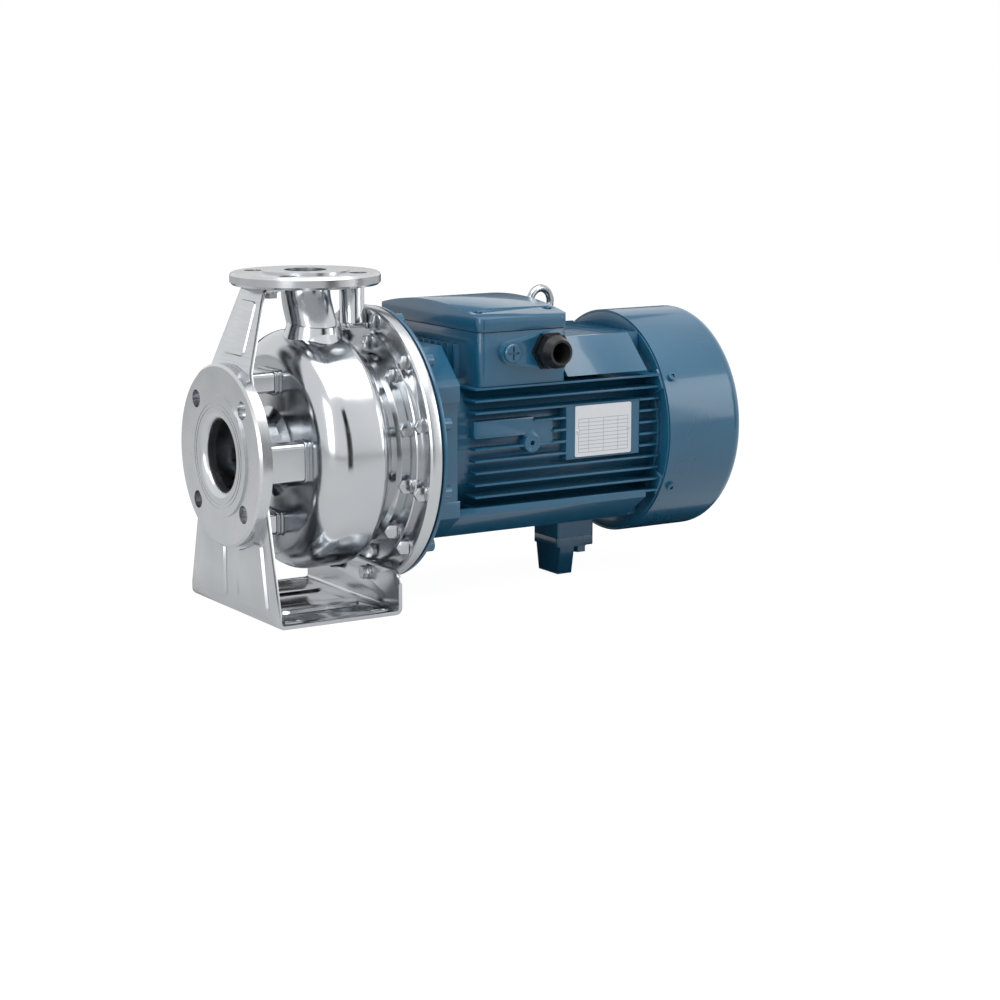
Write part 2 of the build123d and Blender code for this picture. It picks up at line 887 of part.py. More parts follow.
# Stepped shaft with nose, seats and key groove
key_start = hub_front + 3
shaft_steps = [
    (hub_front - nose_length, hub_front, nose_radius),
    (hub_front, seal_step, impeller_seat_radius),
    (seal_step, bearing_step, seal_shaft_radius),
    (bearing_step, core_step, bearing_bore_radius),
    (core_step, core_step_end, shaft_body_radius),
    (core_step_end, fan_step, bearing_bore_radius),
    (fan_step, shaft_end, fan_seat_radius),
]
with BuildPart() as rotor_shaft:
    for step_start, step_end, step_radius in shaft_steps:
        with BuildSketch(station(step_start)):
            Circle(step_radius)
        extrude(amount=step_end - step_start)
    with BuildSketch(shaft_plane.offset(-key_width / 2)):
        with Locations((key_start, impeller_seat_radius - key_height / 2)):
            Rectangle(key_length, key_height, align=(Align.MIN, Align.MIN))
    extrude(amount=key_width, mode=Mode.SUBTRACT)
    with BuildSketch(station(shaft_end - 2 * circlip_thickness)):
        Circle(fan_seat_radius)
        Circle(fan_seat_radius - circlip_depth, mode=Mode.SUBTRACT)
    extrude(amount=circlip_thickness, mode=Mode.SUBTRACT)

with BuildPart() as impeller_key:
    with BuildSketch(shaft_plane.offset(-key_width / 2)):
        with Locations((key_start, impeller_seat_radius - key_height / 2)):
            Rectangle(key_length, key_height, align=(Align.MIN, Align.MIN))
    extrude(amount=key_width)

# Impeller with two shrouds, hub and backswept vanes
shroud_front = -impeller_outlet / 2
shroud_rear = impeller_outlet / 2
hub_rear = seal_step
with BuildPart() as impeller:
    with BuildSketch(shaft_plane):
        with BuildLine():
            Polyline(
                (impeller_neck_rear, 0),
                (impeller_neck_rear, impeller_eye_radius + 1),
                (shroud_front - 2, impeller_radius * 0.6),
                (shroud_front, impeller_radius),
                (shroud_rear, impeller_radius),
                (shroud_rear, 0),
                close=True,
            )
        make_face()
    revolve(axis=shaft_axis)
    with BuildSketch(station(impeller_neck_rear)) as vane_gaps:
        Circle(impeller_radius + 1)
        for index in range(impeller_vane_count):
            turn = 360.0 / impeller_vane_count * index
            with BuildLine():
                inner_tip = Vector(impeller_vane_start_radius, 0).rotate(Axis.Z, turn)
                middle = Vector(impeller_radius * 0.66, 0).rotate(Axis.Z, turn - impeller_vane_sweep * 0.36)
                outer_tip = Vector(impeller_radius + 2, 0).rotate(Axis.Z, turn - impeller_vane_sweep)
                ThreePointArc(inner_tip, middle, outer_tip)
                offset(amount=impeller_vane_thickness, side=Side.LEFT, closed=True)
            make_face(mode=Mode.SUBTRACT)
    extrude(amount=shroud_rear - impeller_neck_rear, mode=Mode.SUBTRACT)
    with BuildSketch(shaft_plane):
        with BuildLine():
            Polyline(
                (impeller_neck_front, impeller_eye_radius),
                (impeller_neck_rear, impeller_eye_radius),
                (shroud_front - 2, impeller_radius * 0.6),
                (shroud_front, impeller_radius),
                (shroud_front - impeller_shroud, impeller_radius),
                (shroud_front - impeller_shroud - 2, impeller_radius * 0.6),
                (impeller_neck_rear - 1, neck_outer),
                (impeller_neck_front, neck_outer),
                close=True,
            )
        make_face()
    revolve(axis=shaft_axis)
    with BuildSketch(station(shroud_rear)):
        Circle(impeller_radius)
    extrude(amount=impeller_shroud)
    with BuildSketch(station(hub_front)):
        Circle(impeller_hub_radius)
    extrude(amount=hub_rear - hub_front)
    with BuildSketch(station(hub_front)):
        Circle(impeller_seat_radius)
    extrude(amount=hub_rear - hub_front, mode=Mode.SUBTRACT)
    with BuildSketch(shaft_plane.offset(-key_width / 2)):
        with Locations((hub_front, 0)):
            Rectangle(
                key_start + key_length - hub_front,
                impeller_seat_radius + key_height / 2,
                align=(Align.MIN, Align.MIN),
            )
    extrude(amount=key_width, mode=Mode.SUBTRACT)

impeller_washer = ring(
    nose_radius + slip_fit,
    impeller_washer_radius,
    hub_front - impeller_washer_thickness,
    impeller_washer_thickness,
)
with BuildPart() as impeller_nut:
    with BuildSketch(station(hub_front - impeller_washer_thickness)):
        RegularPolygon(impeller_nut_across / 2, 6, major_radius=False)
        Circle(nose_radius + thread_play, mode=Mode.SUBTRACT)
    extrude(amount=-impeller_nut_height)

# Shaft seal between the impeller hub and the seat pocket
seat_front = pocket_front + seat_rear_gap
seat_inner = seal_shaft_radius + seat_seal_gap
seat_outer = seat_inner + seat_ring_wall
seal_seat = ring(seat_inner, seat_outer, seat_front, seat_length)
seal_seat_cup = ring(seat_outer, seat_pocket_radius - cover_sheet, seat_front, seat_length)
seal_face = ring(
    seal_shaft_radius + slip_fit,
    seal_shaft_radius + seal_face_wall + seal_face_lip,
    seat_front - running_gap - seal_face_length,
    seal_face_length,
)
seal_collar = ring(seal_shaft_radius, seal_shaft_radius + seal_collar_wall, seal_step, seal_collar_length)
seal_bellows = ring(
    seal_shaft_radius,
    seal_shaft_radius + bellows_wall,
    seal_step + seal_collar_length,
    seat_front - running_gap - seal_face_length - seal_step - seal_collar_length,
)
shaft_slinger = ring(
    seal_shaft_radius,
    seal_shaft_radius + slinger_wall,
    pocket_front + seat_pocket_depth + slinger_gap,
    slinger_length,
)

# Outline of the motor across the shaft, with bevelled corners
corner_start = frame_half - corner_reach
motor_outline = [
    (corner_start, frame_half),
    (frame_half, corner_start),
    (frame_half, -corner_start),
    (corner_start, -frame_drop),
    (-corner_start, -frame_drop),
    (-frame_half, -corner_start),
    (-frame_half, corner_start),
    (-corner_start, frame_half),
]

# Motor bracket with flange, spigot, side windows, bearing seat and screw bosses
bracket_face = adapter_rear
flange_front = bracket_face + bracket_seam
flange_rear = flange_front + bracket_flange
web_rear = flange_front + bracket_web
with BuildPart() as motor_bracket:
    with BuildSketch(station(flange_front)):
        Circle(bracket_radius)
    extrude(amount=bracket_flange)
    with BuildSketch(station(bracket_face)):
        Circle(adapter_screw_circle - m8_radius - hole_play)
    extrude(amount=bracket_seam)
    with BuildSketch(station(flange_rear)):
        with Locations(*outer_spots):
            Circle(screw_boss_radius)
    extrude(amount=web_rear - flange_rear)
    with BuildSketch(station(flange_rear)):
        Polygon(*motor_outline, align=None)
        for hand in (-1, 1):
            with Locations((hand * frame_half, 0)):
                Rectangle(2 * bracket_window_depth, 2 * bracket_window_half, mode=Mode.SUBTRACT)
    extrude(amount=bracket_end - flange_rear)
    with BuildSketch(station(web_rear)):
        Circle(bracket_bore_radius)
        Circle(bearing_outer_radius + bearing_wall, mode=Mode.SUBTRACT)
    extrude(amount=bracket_end - web_rear, mode=Mode.SUBTRACT)
    with BuildSketch(station(bracket_face)):
        Circle(seal_shaft_radius + slinger_wall + slinger_play)
    extrude(amount=bearing_front - bracket_face, mode=Mode.SUBTRACT)
    with BuildSketch(station(bearing_front)):
        Circle(bearing_outer_radius)
    extrude(amount=bearing_width, mode=Mode.SUBTRACT)
    with BuildSketch(station(bracket_face)):
        with Locations(*outer_spots):
            Circle(m8_radius + thread_play)
    extrude(amount=adapter_screw_grip + hole_play, mode=Mode.SUBTRACT)

# Finned motor housing with corner walls, bosses, cable rail and support pad
side_blocks = [
    (plate_x, plate_z, plate_block_length, plate_block_height, plate_block_drop),
    (side_block_x, side_block_z, side_block_length, side_block_height, low_block_drop),
    (fin_start + rail_block_length / 2, rail_block_z, rail_block_length, rail_block_height, low_block_drop),
]
fin_places = [fin_pitch * (index - (fin_count - 1) / 2) for index in range(fin_count)]
last_fin = fin_places[-1]
fin_root = frame_bore_radius + frame_wall / 2
frame_front = bracket_end
box_end = box_start + box_length
leg_top = shaft_height - frame_drop - support_pad_depth
with BuildPart() as motor_housing:
    with BuildSketch(station(frame_front)):
        Circle(frame_bore_radius + frame_wall)
        Circle(frame_bore_radius, mode=Mode.SUBTRACT)
    extrude(amount=frame_end - frame_front)
    with BuildSketch(station(fin_start)):
        for place in fin_places:
            side_root = (fin_root**2 - place**2) ** 0.5
            for hand in (-1, 1):
                with BuildLine():
                    Polyline(
                        (hand * side_root, place - fin_thickness / 2),
                        (hand * frame_half, place - fin_thickness / 3),
                        (hand * frame_half, place + fin_thickness / 3),
                        (hand * side_root, place + fin_thickness / 2),
                        close=True,
                    )
                make_face()
            for root, tip in ((side_root, frame_half), (-side_root, -frame_drop)):
                with BuildLine():
                    Polyline(
                        (place - fin_thickness / 2, root),
                        (place - fin_thickness / 3, tip),
                        (place + fin_thickness / 3, tip),
                        (place + fin_thickness / 2, root),
                        close=True,
                    )
                make_face()
    extrude(amount=frame_end - fin_start)
    for wall_start, lower in ((frame_front, True), (box_end, False)):
        with BuildSketch(station(wall_start)):
            Polygon(*motor_outline, align=None)
            offset(amount=-corner_wall, mode=Mode.SUBTRACT)
            Rectangle(2 * (last_fin - fin_thickness / 2), 3 * frame_half, mode=Mode.SUBTRACT)
            if lower:
                with Locations((0, -last_fin + fin_thickness / 2 - frame_half)):
                    Rectangle(3 * frame_half, 2 * frame_half, mode=Mode.INTERSECT)
            else:
                with Locations((0, corner_start + frame_half)):
                    Rectangle(3 * frame_half, 2 * frame_half, mode=Mode.INTERSECT)
        extrude(amount=pad_end - wall_start)
    for block_x, block_z, block_length, block_height, block_drop in side_blocks:
        with BuildSketch(Plane.XZ.offset(fin_root)):
            with Locations((block_x, shaft_height + block_z)):
                Rectangle(block_length, block_height)
        extrude(amount=frame_half - block_drop - fin_root)
        with BuildSketch(Plane.XZ.offset(frame_half)):
            with Locations((block_x, shaft_height + block_z)):
                Rectangle(block_length, block_height)
        extrude(amount=-block_drop, mode=Mode.SUBTRACT)
    with BuildSketch(Plane.XZ.offset(fin_root)):
        with Locations((side_boss_x, shaft_height + side_boss_z)):
            Circle(side_boss_radius)
    extrude(amount=frame_half + side_boss_reach - fin_root)
    with BuildSketch(Plane.XZ.offset(frame_half + side_boss_reach)):
        with Locations((side_boss_x, shaft_height + side_boss_z)):
            Circle(side_plug_radius + thread_play)
    extrude(amount=-(frame_half + side_boss_reach - fin_root - frame_wall), mode=Mode.SUBTRACT)
    with BuildSketch(Plane.XY.offset(leg_top)):
        with Locations(((support_pad_start + support_pad_end) / 2, 0)):
            RectangleRounded(support_pad_end - support_pad_start, 2 * support_pad_half, support_pad_round)
    extrude(amount=frame_drop + support_pad_depth - fin_root)
    with BuildSketch(Plane.XY.offset(leg_top)):
        with Locations((leg_screw_x, 0)):
            with GridLocations(0, leg_screw_pitch, 1, 2):
                Circle(m10_radius + thread_play)
    extrude(amount=leg_screw_grip - leg_flange + hole_play, mode=Mode.SUBTRACT)
    with BuildSketch(Plane.XY.offset(shaft_height + fin_root)):
        with Locations((eye_x, 0)):
            Circle(eye_boss_radius)
    extrude(amount=frame_half + eye_boss_height - fin_root)
    with BuildSketch(Plane.XY.offset(shaft_height + frame_half + eye_boss_height)):
        with Locations((eye_x, 0)):
            Circle(eye_thread_radius + thread_play)
    extrude(amount=-eye_thread_length - hole_play, mode=Mode.SUBTRACT)
    with BuildSketch(station(frame_front)):
        Circle(frame_bore_radius)
    extrude(amount=frame_end - frame_front, mode=Mode.SUBTRACT)
    with BuildSketch(station(frame_end)):
        with Locations(*polar_spots(fin_root, shield_screw_count, 45)):
            Circle(m6_radius + thread_play)
    extrude(amount=-shield_screw_grip - hole_play, mode=Mode.SUBTRACT)

with BuildPart() as side_plug:
    with BuildSketch(Plane.XZ.offset(frame_half + side_boss_reach)):
        with Locations((side_boss_x, shaft_height + side_boss_z)):
            Circle(side_plug_radius)
            RegularPolygon(side_socket_across / 2, 6, major_radius=False, mode=Mode.SUBTRACT)
    extrude(amount=-5)
    with BuildSketch(Plane.XZ.offset(frame_half + side_boss_reach - 5)):
        with Locations((side_boss_x, shaft_height + side_boss_z)):
            Circle(side_plug_radius)
    extrude(amount=-3)

# Motor support leg under the rear half of the housing
with BuildPart() as motor_support:
    with BuildSketch(Plane.XY.offset(leg_top)):
        with Locations(((support_pad_start + support_pad_end) / 2, 0)):
            RectangleRounded(support_pad_end - support_pad_start, 2 * support_pad_half, support_pad_round)
    extrude(amount=-leg_flange)
    with BuildSketch(station(support_pad_start + leg_inset)):
        with BuildLine():
            Polyline(
                (-leg_bottom_half, -shaft_height),
                (leg_bottom_half, -shaft_height),
                (support_pad_half, leg_top - leg_flange - shaft_height),
                (-support_pad_half, leg_top - leg_flange - shaft_height),
                close=True,
            )
        make_face()
    extrude(amount=leg_thickness)
    with BuildSketch(Plane.XY.offset(leg_top)):
        with Locations((leg_screw_x, 0)):
            with GridLocations(0, leg_screw_pitch, 1, 2):
                Circle(m10_radius + hole_play)
    extrude(amount=-leg_flange, mode=Mode.SUBTRACT)
support_screws = hex_screws(
    Plane(origin=(0, 0, leg_top - leg_flange), x_dir=(1, 0, 0), z_dir=(0, 0, -1)),
    [(leg_screw_x, hand * leg_screw_pitch / 2) for hand in (-1, 1)],
    m10_across,
    m10_head,
    m10_radius,
    leg_screw_grip,
)

# Stator core with slots and its winding
core_end = core_start + core_length
slot_spots = [turned(spot) for spot in polar_spots(stator_bore_radius + 3 + slot_depth / 2, stator_slot_count, 0)]
with BuildPart() as stator_core:
    with BuildSketch(station(core_start)):
        Circle(frame_bore_radius)
        Circle(stator_bore_radius, mode=Mode.SUBTRACT)
        with Locations(*slot_spots):
            Rectangle(slot_depth, 2 * slot_half_width, mode=Mode.SUBTRACT)
    extrude(amount=core_length)
winding_inner = stator_bore_radius + 3
winding_outer = winding_inner + slot_depth
with BuildPart() as stator_windings:
    with BuildSketch(station(core_start)):
        with Locations(*slot_spots):
            Rectangle(slot_depth, 2 * slot_half_width)
    extrude(amount=core_length)
    for overhang_start in (core_start - winding_overhang, core_end):
        with BuildSketch(station(overhang_start)):
            Circle(winding_outer)
            Circle(winding_inner, mode=Mode.SUBTRACT)
        extrude(amount=winding_overhang)

rotor_core = ring(shaft_body_radius, stator_bore_radius - air_gap, core_start, core_length)
with BuildPart() as rotor_end_rings:
    for ring_start in (core_start - end_ring_length, core_end):
        with BuildSketch(station(ring_start)):
            Circle(stator_bore_radius - air_gap - 1)
            Circle(stator_bore_radius - air_gap - 1 - end_ring_depth, mode=Mode.SUBTRACT)
        extrude(amount=end_ring_length)

# Bearings: inner rings on the shaft, outer rings with shields in their seats
race_inner = bearing_bore_radius + bearing_race
race_outer = bearing_outer_radius - bearing_race
drive_bearing_inner = ring(bearing_bore_radius, race_inner, bearing_front, bearing_width)
rear_bearing_inner = ring(bearing_bore_radius, race_inner, bearing_rear, bearing_width)
bearing_pieces = []
for bearing_start in (bearing_front, bearing_rear):
    with BuildPart() as outer_race:
        with BuildSketch(station(bearing_start)):
            Circle(bearing_outer_radius)
            Circle(race_outer, mode=Mode.SUBTRACT)
        extrude(amount=bearing_width)
        for shield_start in (bearing_shield_inset, bearing_width - bearing_shield_inset - bearing_shield):
            with BuildSketch(station(bearing_start + shield_start)):
                Circle(race_outer + 1)
                Circle(race_inner + thread_play, mode=Mode.SUBTRACT)
            extrude(amount=bearing_shield)
    bearing_pieces.append(outer_race)
drive_bearing_outer, rear_bearing_outer = bearing_pieces

# Rear end shield with bearing seat and lugs for the fan cover
seat_end = bearing_rear + bearing_width
shield_face = frame_end + shield_thickness
lug_angles = [cover_screw_angle, 180 - cover_screw_angle, 180 + cover_screw_angle, -cover_screw_angle]
lug_circle = cover_radius - cover_wall - lug_reach / 2
lug_places = [turned((lug_circle * cos(radians(angle)), lug_circle * sin(radians(angle)))) for angle in lug_angles]
shield_screw_spots = polar_spots(frame_bore_radius + frame_wall / 2, shield_screw_count, 45)
with BuildPart() as rear_endshield:
    with BuildSketch(station(frame_end)):
        Circle(shield_radius)
        Circle(fan_seat_radius + 1.5, mode=Mode.SUBTRACT)
    extrude(amount=shield_thickness)
    with BuildSketch(station(frame_end)):
        Circle(frame_bore_radius - slip_fit)
        Circle(frame_bore_radius - 8, mode=Mode.SUBTRACT)
    extrude(amount=-6)
    with BuildSketch(station(bearing_rear)):
        Circle(bearing_outer_radius + shield_hub_wall)
        Circle(bearing_outer_radius, mode=Mode.SUBTRACT)
    extrude(amount=frame_end - bearing_rear)
    with BuildSketch(station(frame_end)):
        with Locations(*lug_places):
            Rectangle(2 * lug_reach, 2 * lug_half)
        Circle(cover_radius - cover_wall, mode=Mode.INTERSECT)
        Circle(shield_radius - lug_root, mode=Mode.SUBTRACT)
    extrude(amount=shield_thickness + lug_length)
    with BuildSketch(station(shield_face)):
        with Locations(*shield_screw_spots):
            Circle(m6_radius + hole_play)
    extrude(amount=-shield_thickness, mode=Mode.SUBTRACT)
    for angle in lug_angles:
        with BuildSketch(lug_plane(angle)):
            Circle(m5_radius + thread_play)
        extrude(amount=-cover_screw_length, mode=Mode.SUBTRACT)
shield_screws = hex_screws(
    station(shield_face),
    shield_screw_spots,
    m6_across,
    m6_head,
    m6_radius,
    shield_thickness + shield_screw_grip,
)

# Fan with hub, disc and straight blades, and its retaining ring
fan_hub_start = shaft_end - fan_hub_length - 2 * circlip_thickness
fan_disc_end = fan_hub_start + fan_disc
with BuildPart() as cooling_fan:
    with BuildSketch(station(fan_hub_start)):
        Circle(fan_hub_radius)
        Circle(fan_seat_radius, mode=Mode.SUBTRACT)
    extrude(amount=fan_hub_length)
    with BuildSketch(station(fan_hub_start)):
        Circle(fan_disc_radius)
        Circle(fan_hub_radius - 1, mode=Mode.SUBTRACT)
    extrude(amount=fan_disc)
    with BuildSketch(station(fan_hub_start)):
        with PolarLocations(0, fan_blade_count):
            Rectangle(fan_radius, fan_blade, align=(Align.MIN, Align.CENTER))
        Circle(fan_hub_radius - 1, mode=Mode.SUBTRACT)
    extrude(amount=fan_blade_length)
fan_circlip = ring(
    fan_seat_radius - circlip_depth,
    fan_seat_radius + circlip_wall,
    fan_hub_start + fan_hub_length,
    circlip_thickness,
)

# Fan cover with rounded rear edge and a grille of ring slots between spokes
grille_pitch = grille_slot + grille_bar
cover_inner_chamfer = (cover_round - cover_wall) * (2 - 2**0.5)
with BuildPart() as fan_cover:
    with BuildSketch(shaft_plane):
        with BuildLine():
            Polyline((cover_start, 0), (cover_start, cover_radius), (cover_end, cover_radius), (cover_end, 0), close=True)
        make_face()
        fillet(vertices().sort_by_distance((cover_end, cover_radius))[0], cover_round)
        with BuildLine():
            Polyline(
                (cover_start, 0),
                (cover_start, cover_radius - cover_wall),
                (cover_end - cover_wall - cover_inner_chamfer, cover_radius - cover_wall),
                (cover_end - cover_wall, cover_radius - cover_wall - cover_inner_chamfer),
                (cover_end - cover_wall, 0),
                close=True,
            )
        make_face(mode=Mode.SUBTRACT)
    revolve(axis=shaft_axis)
    with BuildSketch(station(cover_end)):
        for index in reversed(range(grille_rings)):
            Circle(grille_inner + grille_slot + index * grille_pitch)
            Circle(grille_inner + index * grille_pitch, mode=Mode.SUBTRACT)
        with PolarLocations(0, grille_spokes):
            Rectangle(cover_radius, grille_spoke_width, align=(Align.MIN, Align.CENTER), mode=Mode.SUBTRACT)
    extrude(amount=-cover_wall, mode=Mode.SUBTRACT)
    for angle in lug_angles:
        with BuildSketch(lug_plane(angle)):
            Circle(m5_radius + hole_play)
        extrude(amount=-2 * cover_wall, mode=Mode.SUBTRACT)

with BuildPart() as fan_cover_screws:
    for angle in lug_angles:
        with BuildSketch(lug_plane(angle)):
            Circle(m5_head_radius)
        extrude(amount=m5_head)
        with BuildSketch(lug_plane(angle)):
            Circle(m5_radius)
        extrude(amount=-cover_screw_length)
        with BuildSketch(lug_plane(angle).offset(m5_head)):
            Rectangle(m5_radius * 1.6, m5_radius * 1.6)
        extrude(amount=-m5_head / 2, mode=Mode.SUBTRACT)

# Terminal box seated on the fins and on the sloped corners of the housing
box_top = shaft_height + box_height
skirt_rise = last_fin + fin_thickness / 2
box_skirt = shaft_height + skirt_rise
box_middle = (box_start + box_end) / 2
entry_plane = Plane.XZ.offset(box_half_width)
gland_spot = (gland_x, shaft_height + entry_height)
plug_spot = (plug_x, shaft_height + entry_height)
lid_screw_spots = [
    (box_middle + hand_x * (box_length / 2 - lid_screw_inset_x), hand_y * (box_half_width - lid_screw_inset_y))
    for hand_x in (-1, 1)
    for hand_y in (-1, 1)
]
with BuildPart() as terminal_box:
    with BuildSketch(Plane.XY.offset(box_skirt)):
        with Locations((box_middle, 0)):
            RectangleRounded(box_length, 2 * box_half_width, box_round)
    extrude(amount=box_top - box_skirt)
    with BuildSketch(station(box_start)):
        Rectangle(2 * (skirt_rise + slip_fit), 2 * frame_half)
        Circle(frame_bore_radius + frame_wall + slip_fit)
    extrude(amount=box_length, mode=Mode.SUBTRACT)
    with BuildSketch(station(box_start + box_wall)):
        with BuildLine():
            Polyline(
                (-corner_start, frame_half + box_floor),
                (corner_start, frame_half + box_floor),
                (box_half_width - box_wall, corner_start + frame_half - box_half_width + box_wall + box_floor),
                (box_half_width - box_wall, box_height),
                (box_wall - box_half_width, box_height),
                (box_wall - box_half_width, corner_start + frame_half - box_half_width + box_wall + box_floor),
                close=True,
            )
        make_face()
    extrude(amount=box_length - 2 * box_wall, mode=Mode.SUBTRACT)
    with BuildSketch(Plane.XY.offset(box_top)):
        with Locations(*lid_screw_spots):
            Circle(lid_screw_post)
    extrude(amount=-box_screw_depth)
    with BuildSketch(entry_plane):
        with BuildLine():
            CenterArc(gland_spot, gland_boss_radius, 0, 360)
            CenterArc(plug_spot, plug_boss_radius, 0, 360)
        make_hull()
    extrude(amount=entry_boss)
    with BuildSketch(entry_plane.offset(entry_boss)):
        with Locations(gland_spot):
            Circle(gland_thread_radius + thread_play)
        with Locations(plug_spot):
            Circle(plug_thread_radius + thread_play)
    extrude(amount=-entry_boss - box_wall, mode=Mode.SUBTRACT)
    with BuildSketch(Plane.XY.offset(box_top)):
        with Locations(*lid_screw_spots):
            Circle(m5_radius + thread_play)
    extrude(amount=-box_screw_depth, mode=Mode.SUBTRACT)

with BuildPart() as terminal_gasket:
    with BuildSketch(Plane.XY.offset(box_top)):
        with Locations((box_middle, 0)):
            RectangleRounded(box_length - 2, 2 * box_half_width - 2, box_round - 1)
            Rectangle(box_length - 2 * box_wall, 2 * (box_half_width - box_wall), mode=Mode.SUBTRACT)
        with Locations(*lid_screw_spots):
            Circle(lid_screw_post)
        with Locations(*lid_screw_spots):
            Circle(m5_radius + hole_play, mode=Mode.SUBTRACT)
    extrude(amount=gasket_thickness)

# Lid with an upright edge and a crowned roof
lid_bottom = box_top + gasket_thickness
lid_half = box_half_width + lid_overhang
edge_height = lid_bottom + lid_edge - shaft_height
inner_half = box_half_width - box_wall
inner_edge = edge_height - lid_wall
with BuildPart() as terminal_lid:
    with BuildSketch(station(box_start - lid_overhang)):
        with BuildLine():
            Polyline(
                (-lid_half, edge_height),
                (-lid_half, lid_bottom - shaft_height),
                (lid_half, lid_bottom - shaft_height),
                (lid_half, edge_height),
            )
            ThreePointArc((lid_half, edge_height), (0, edge_height + lid_crown), (-lid_half, edge_height))
        make_face()
    extrude(amount=box_length + 2 * lid_overhang)
    fillet(edges().filter_by(Axis.Z), box_round + lid_overhang)
    with BuildSketch(station(box_start + box_wall)):
        with BuildLine():
            Polyline(
                (-inner_half, inner_edge),
                (-inner_half, lid_bottom - shaft_height),
                (inner_half, lid_bottom - shaft_height),
                (inner_half, inner_edge),
            )
            ThreePointArc((inner_half, inner_edge), (0, inner_edge + lid_crown), (-inner_half, inner_edge))
        make_face()
    extrude(amount=box_length - 2 * box_wall, mode=Mode.SUBTRACT)
    with BuildSketch(Plane.XY.offset(lid_bottom)):
        with Locations(*lid_screw_spots):
            Circle(lid_screw_post)
    extrude(amount=lid_edge)
    with BuildSketch(Plane.XY.offset(lid_bottom + lid_edge - lid_screw_sink)):
        with Locations(*lid_screw_spots):
            Circle(m5_head_radius + hole_play)
    extrude(amount=lid_crown + lid_screw_sink, mode=Mode.SUBTRACT)
    with BuildSketch(Plane.XY.offset(lid_bottom)):
        with Locations(*lid_screw_spots):
            Circle(m5_radius + hole_play)
    extrude(amount=lid_edge, mode=Mode.SUBTRACT)

lid_screws = round_screws(
    Plane.XY.offset(lid_bottom + lid_edge - lid_screw_sink),
    lid_screw_spots,
    m5_head_radius,
    m5_head,
    m5_radius,
    lid_edge - lid_screw_sink + gasket_thickness + box_screw_depth - 1,
    m5_radius * 1.6,
)

# Blanking plug and cable gland on the entry boss
with BuildPart() as blanking_plug:
    with BuildSketch(entry_plane.offset(entry_boss)):
        with Locations(plug_spot):
            Circle(plug_radius)
    extrude(amount=plug_head)
    chamfer(faces().sort_by(Axis.Y)[0].edges(), plug_chamfer)
    with BuildSketch(entry_plane.offset(entry_boss)):
        with Locations(plug_spot):
            Circle(plug_thread_radius)
    extrude(amount=-entry_boss)
    with BuildSketch(entry_plane.offset(entry_boss + plug_head)):
        with Locations(plug_spot):
            Rectangle(1.4 * plug_radius, plug_slot)
            Rectangle(plug_slot, 1.4 * plug_radius)
    extrude(amount=-plug_head / 2, mode=Mode.SUBTRACT)

with BuildPart() as gland_body:
    with BuildSketch(entry_plane.offset(entry_boss)):
        with Locations(gland_spot):
            RegularPolygon(gland_hex_across / 2, 6, major_radius=False)
    extrude(amount=gland_hex)
    with BuildSketch(entry_plane.offset(entry_boss - gland_tail)):
        with Locations(gland_spot):
            Circle(gland_thread_radius)
    extrude(amount=gland_tail + gland_hex + gland_neck)
    with BuildSketch(entry_plane.offset(entry_boss - gland_tail)):
        with Locations(gland_spot):
            Circle(gland_bore_radius + gland_seal_wall)
    extrude(amount=gland_tail + gland_hex + gland_neck, mode=Mode.SUBTRACT)

nut_start = entry_boss + gland_hex + gland_nut_gap
gland_seal_end = nut_start + gland_nut_length - gland_seal_inset
with BuildPart() as gland_seal:
    with BuildSketch(entry_plane.offset(entry_boss)):
        with Locations(gland_spot):
            Circle(gland_bore_radius + gland_seal_wall)
            Circle(gland_bore_radius, mode=Mode.SUBTRACT)
    extrude(amount=gland_seal_end - entry_boss)

with BuildPart() as gland_nut:
    with BuildSketch(entry_plane.offset(nut_start)):
        with Locations(gland_spot):
            RegularPolygon(gland_nut_radius, 6)
    extrude(amount=gland_nut_length - gland_dome)
    with BuildSketch(entry_plane.offset(nut_start + gland_nut_length - gland_dome)):
        with Locations(gland_spot):
            Circle(gland_hex_across / 2 - gland_nut_gap)
    extrude(amount=gland_dome, taper=gland_dome_draft)
    with BuildSketch(entry_plane.offset(nut_start)):
        with Locations(gland_spot):
            Circle(gland_thread_radius + thread_play)
    extrude(amount=gland_neck - gland_nut_gap, mode=Mode.SUBTRACT)
    with BuildSketch(entry_plane.offset(nut_start)):
        with Locations(gland_spot):
            Circle(gland_bore_radius + gland_seal_wall + thread_play)
    extrude(amount=gland_nut_length - gland_seal_inset, mode=Mode.SUBTRACT)
    with BuildSketch(entry_plane.offset(nut_start)):
        with Locations(gland_spot):
            Circle(gland_bore_radius)
    extrude(amount=gland_nut_length, mode=Mode.SUBTRACT)

# Terminal board with six studs and their nuts
board_bottom = shaft_height + frame_half + box_floor
board_top = board_bottom + board_thickness
stud_spots = [
    (box_middle + (column - 1) * stud_pitch_x, hand * stud_pitch_y / 2)
    for column in range(3)
    for hand in (-1, 1)
]
with BuildPart() as terminal_board:
    with BuildSketch(Plane.XY.offset(board_bottom)):
        with Locations((box_middle, 0)):
            RectangleRounded(board_length, board_width, 2)
        with Locations(*stud_spots):
            Circle(stud_radius, mode=Mode.SUBTRACT)
    extrude(amount=board_thickness)
with BuildPart() as terminal_studs:
    with BuildSketch(Plane.XY.offset(board_bottom)):
        with Locations(*stud_spots):
            Circle(stud_radius)
    extrude(amount=board_thickness + stud_height)
    with BuildSketch(Plane.XY.offset(board_top)):
        with Locations(*stud_spots):
            RegularPolygon(stud_nut_across / 2, 6, major_radius=False)
    extrude(amount=stud_nut_height)

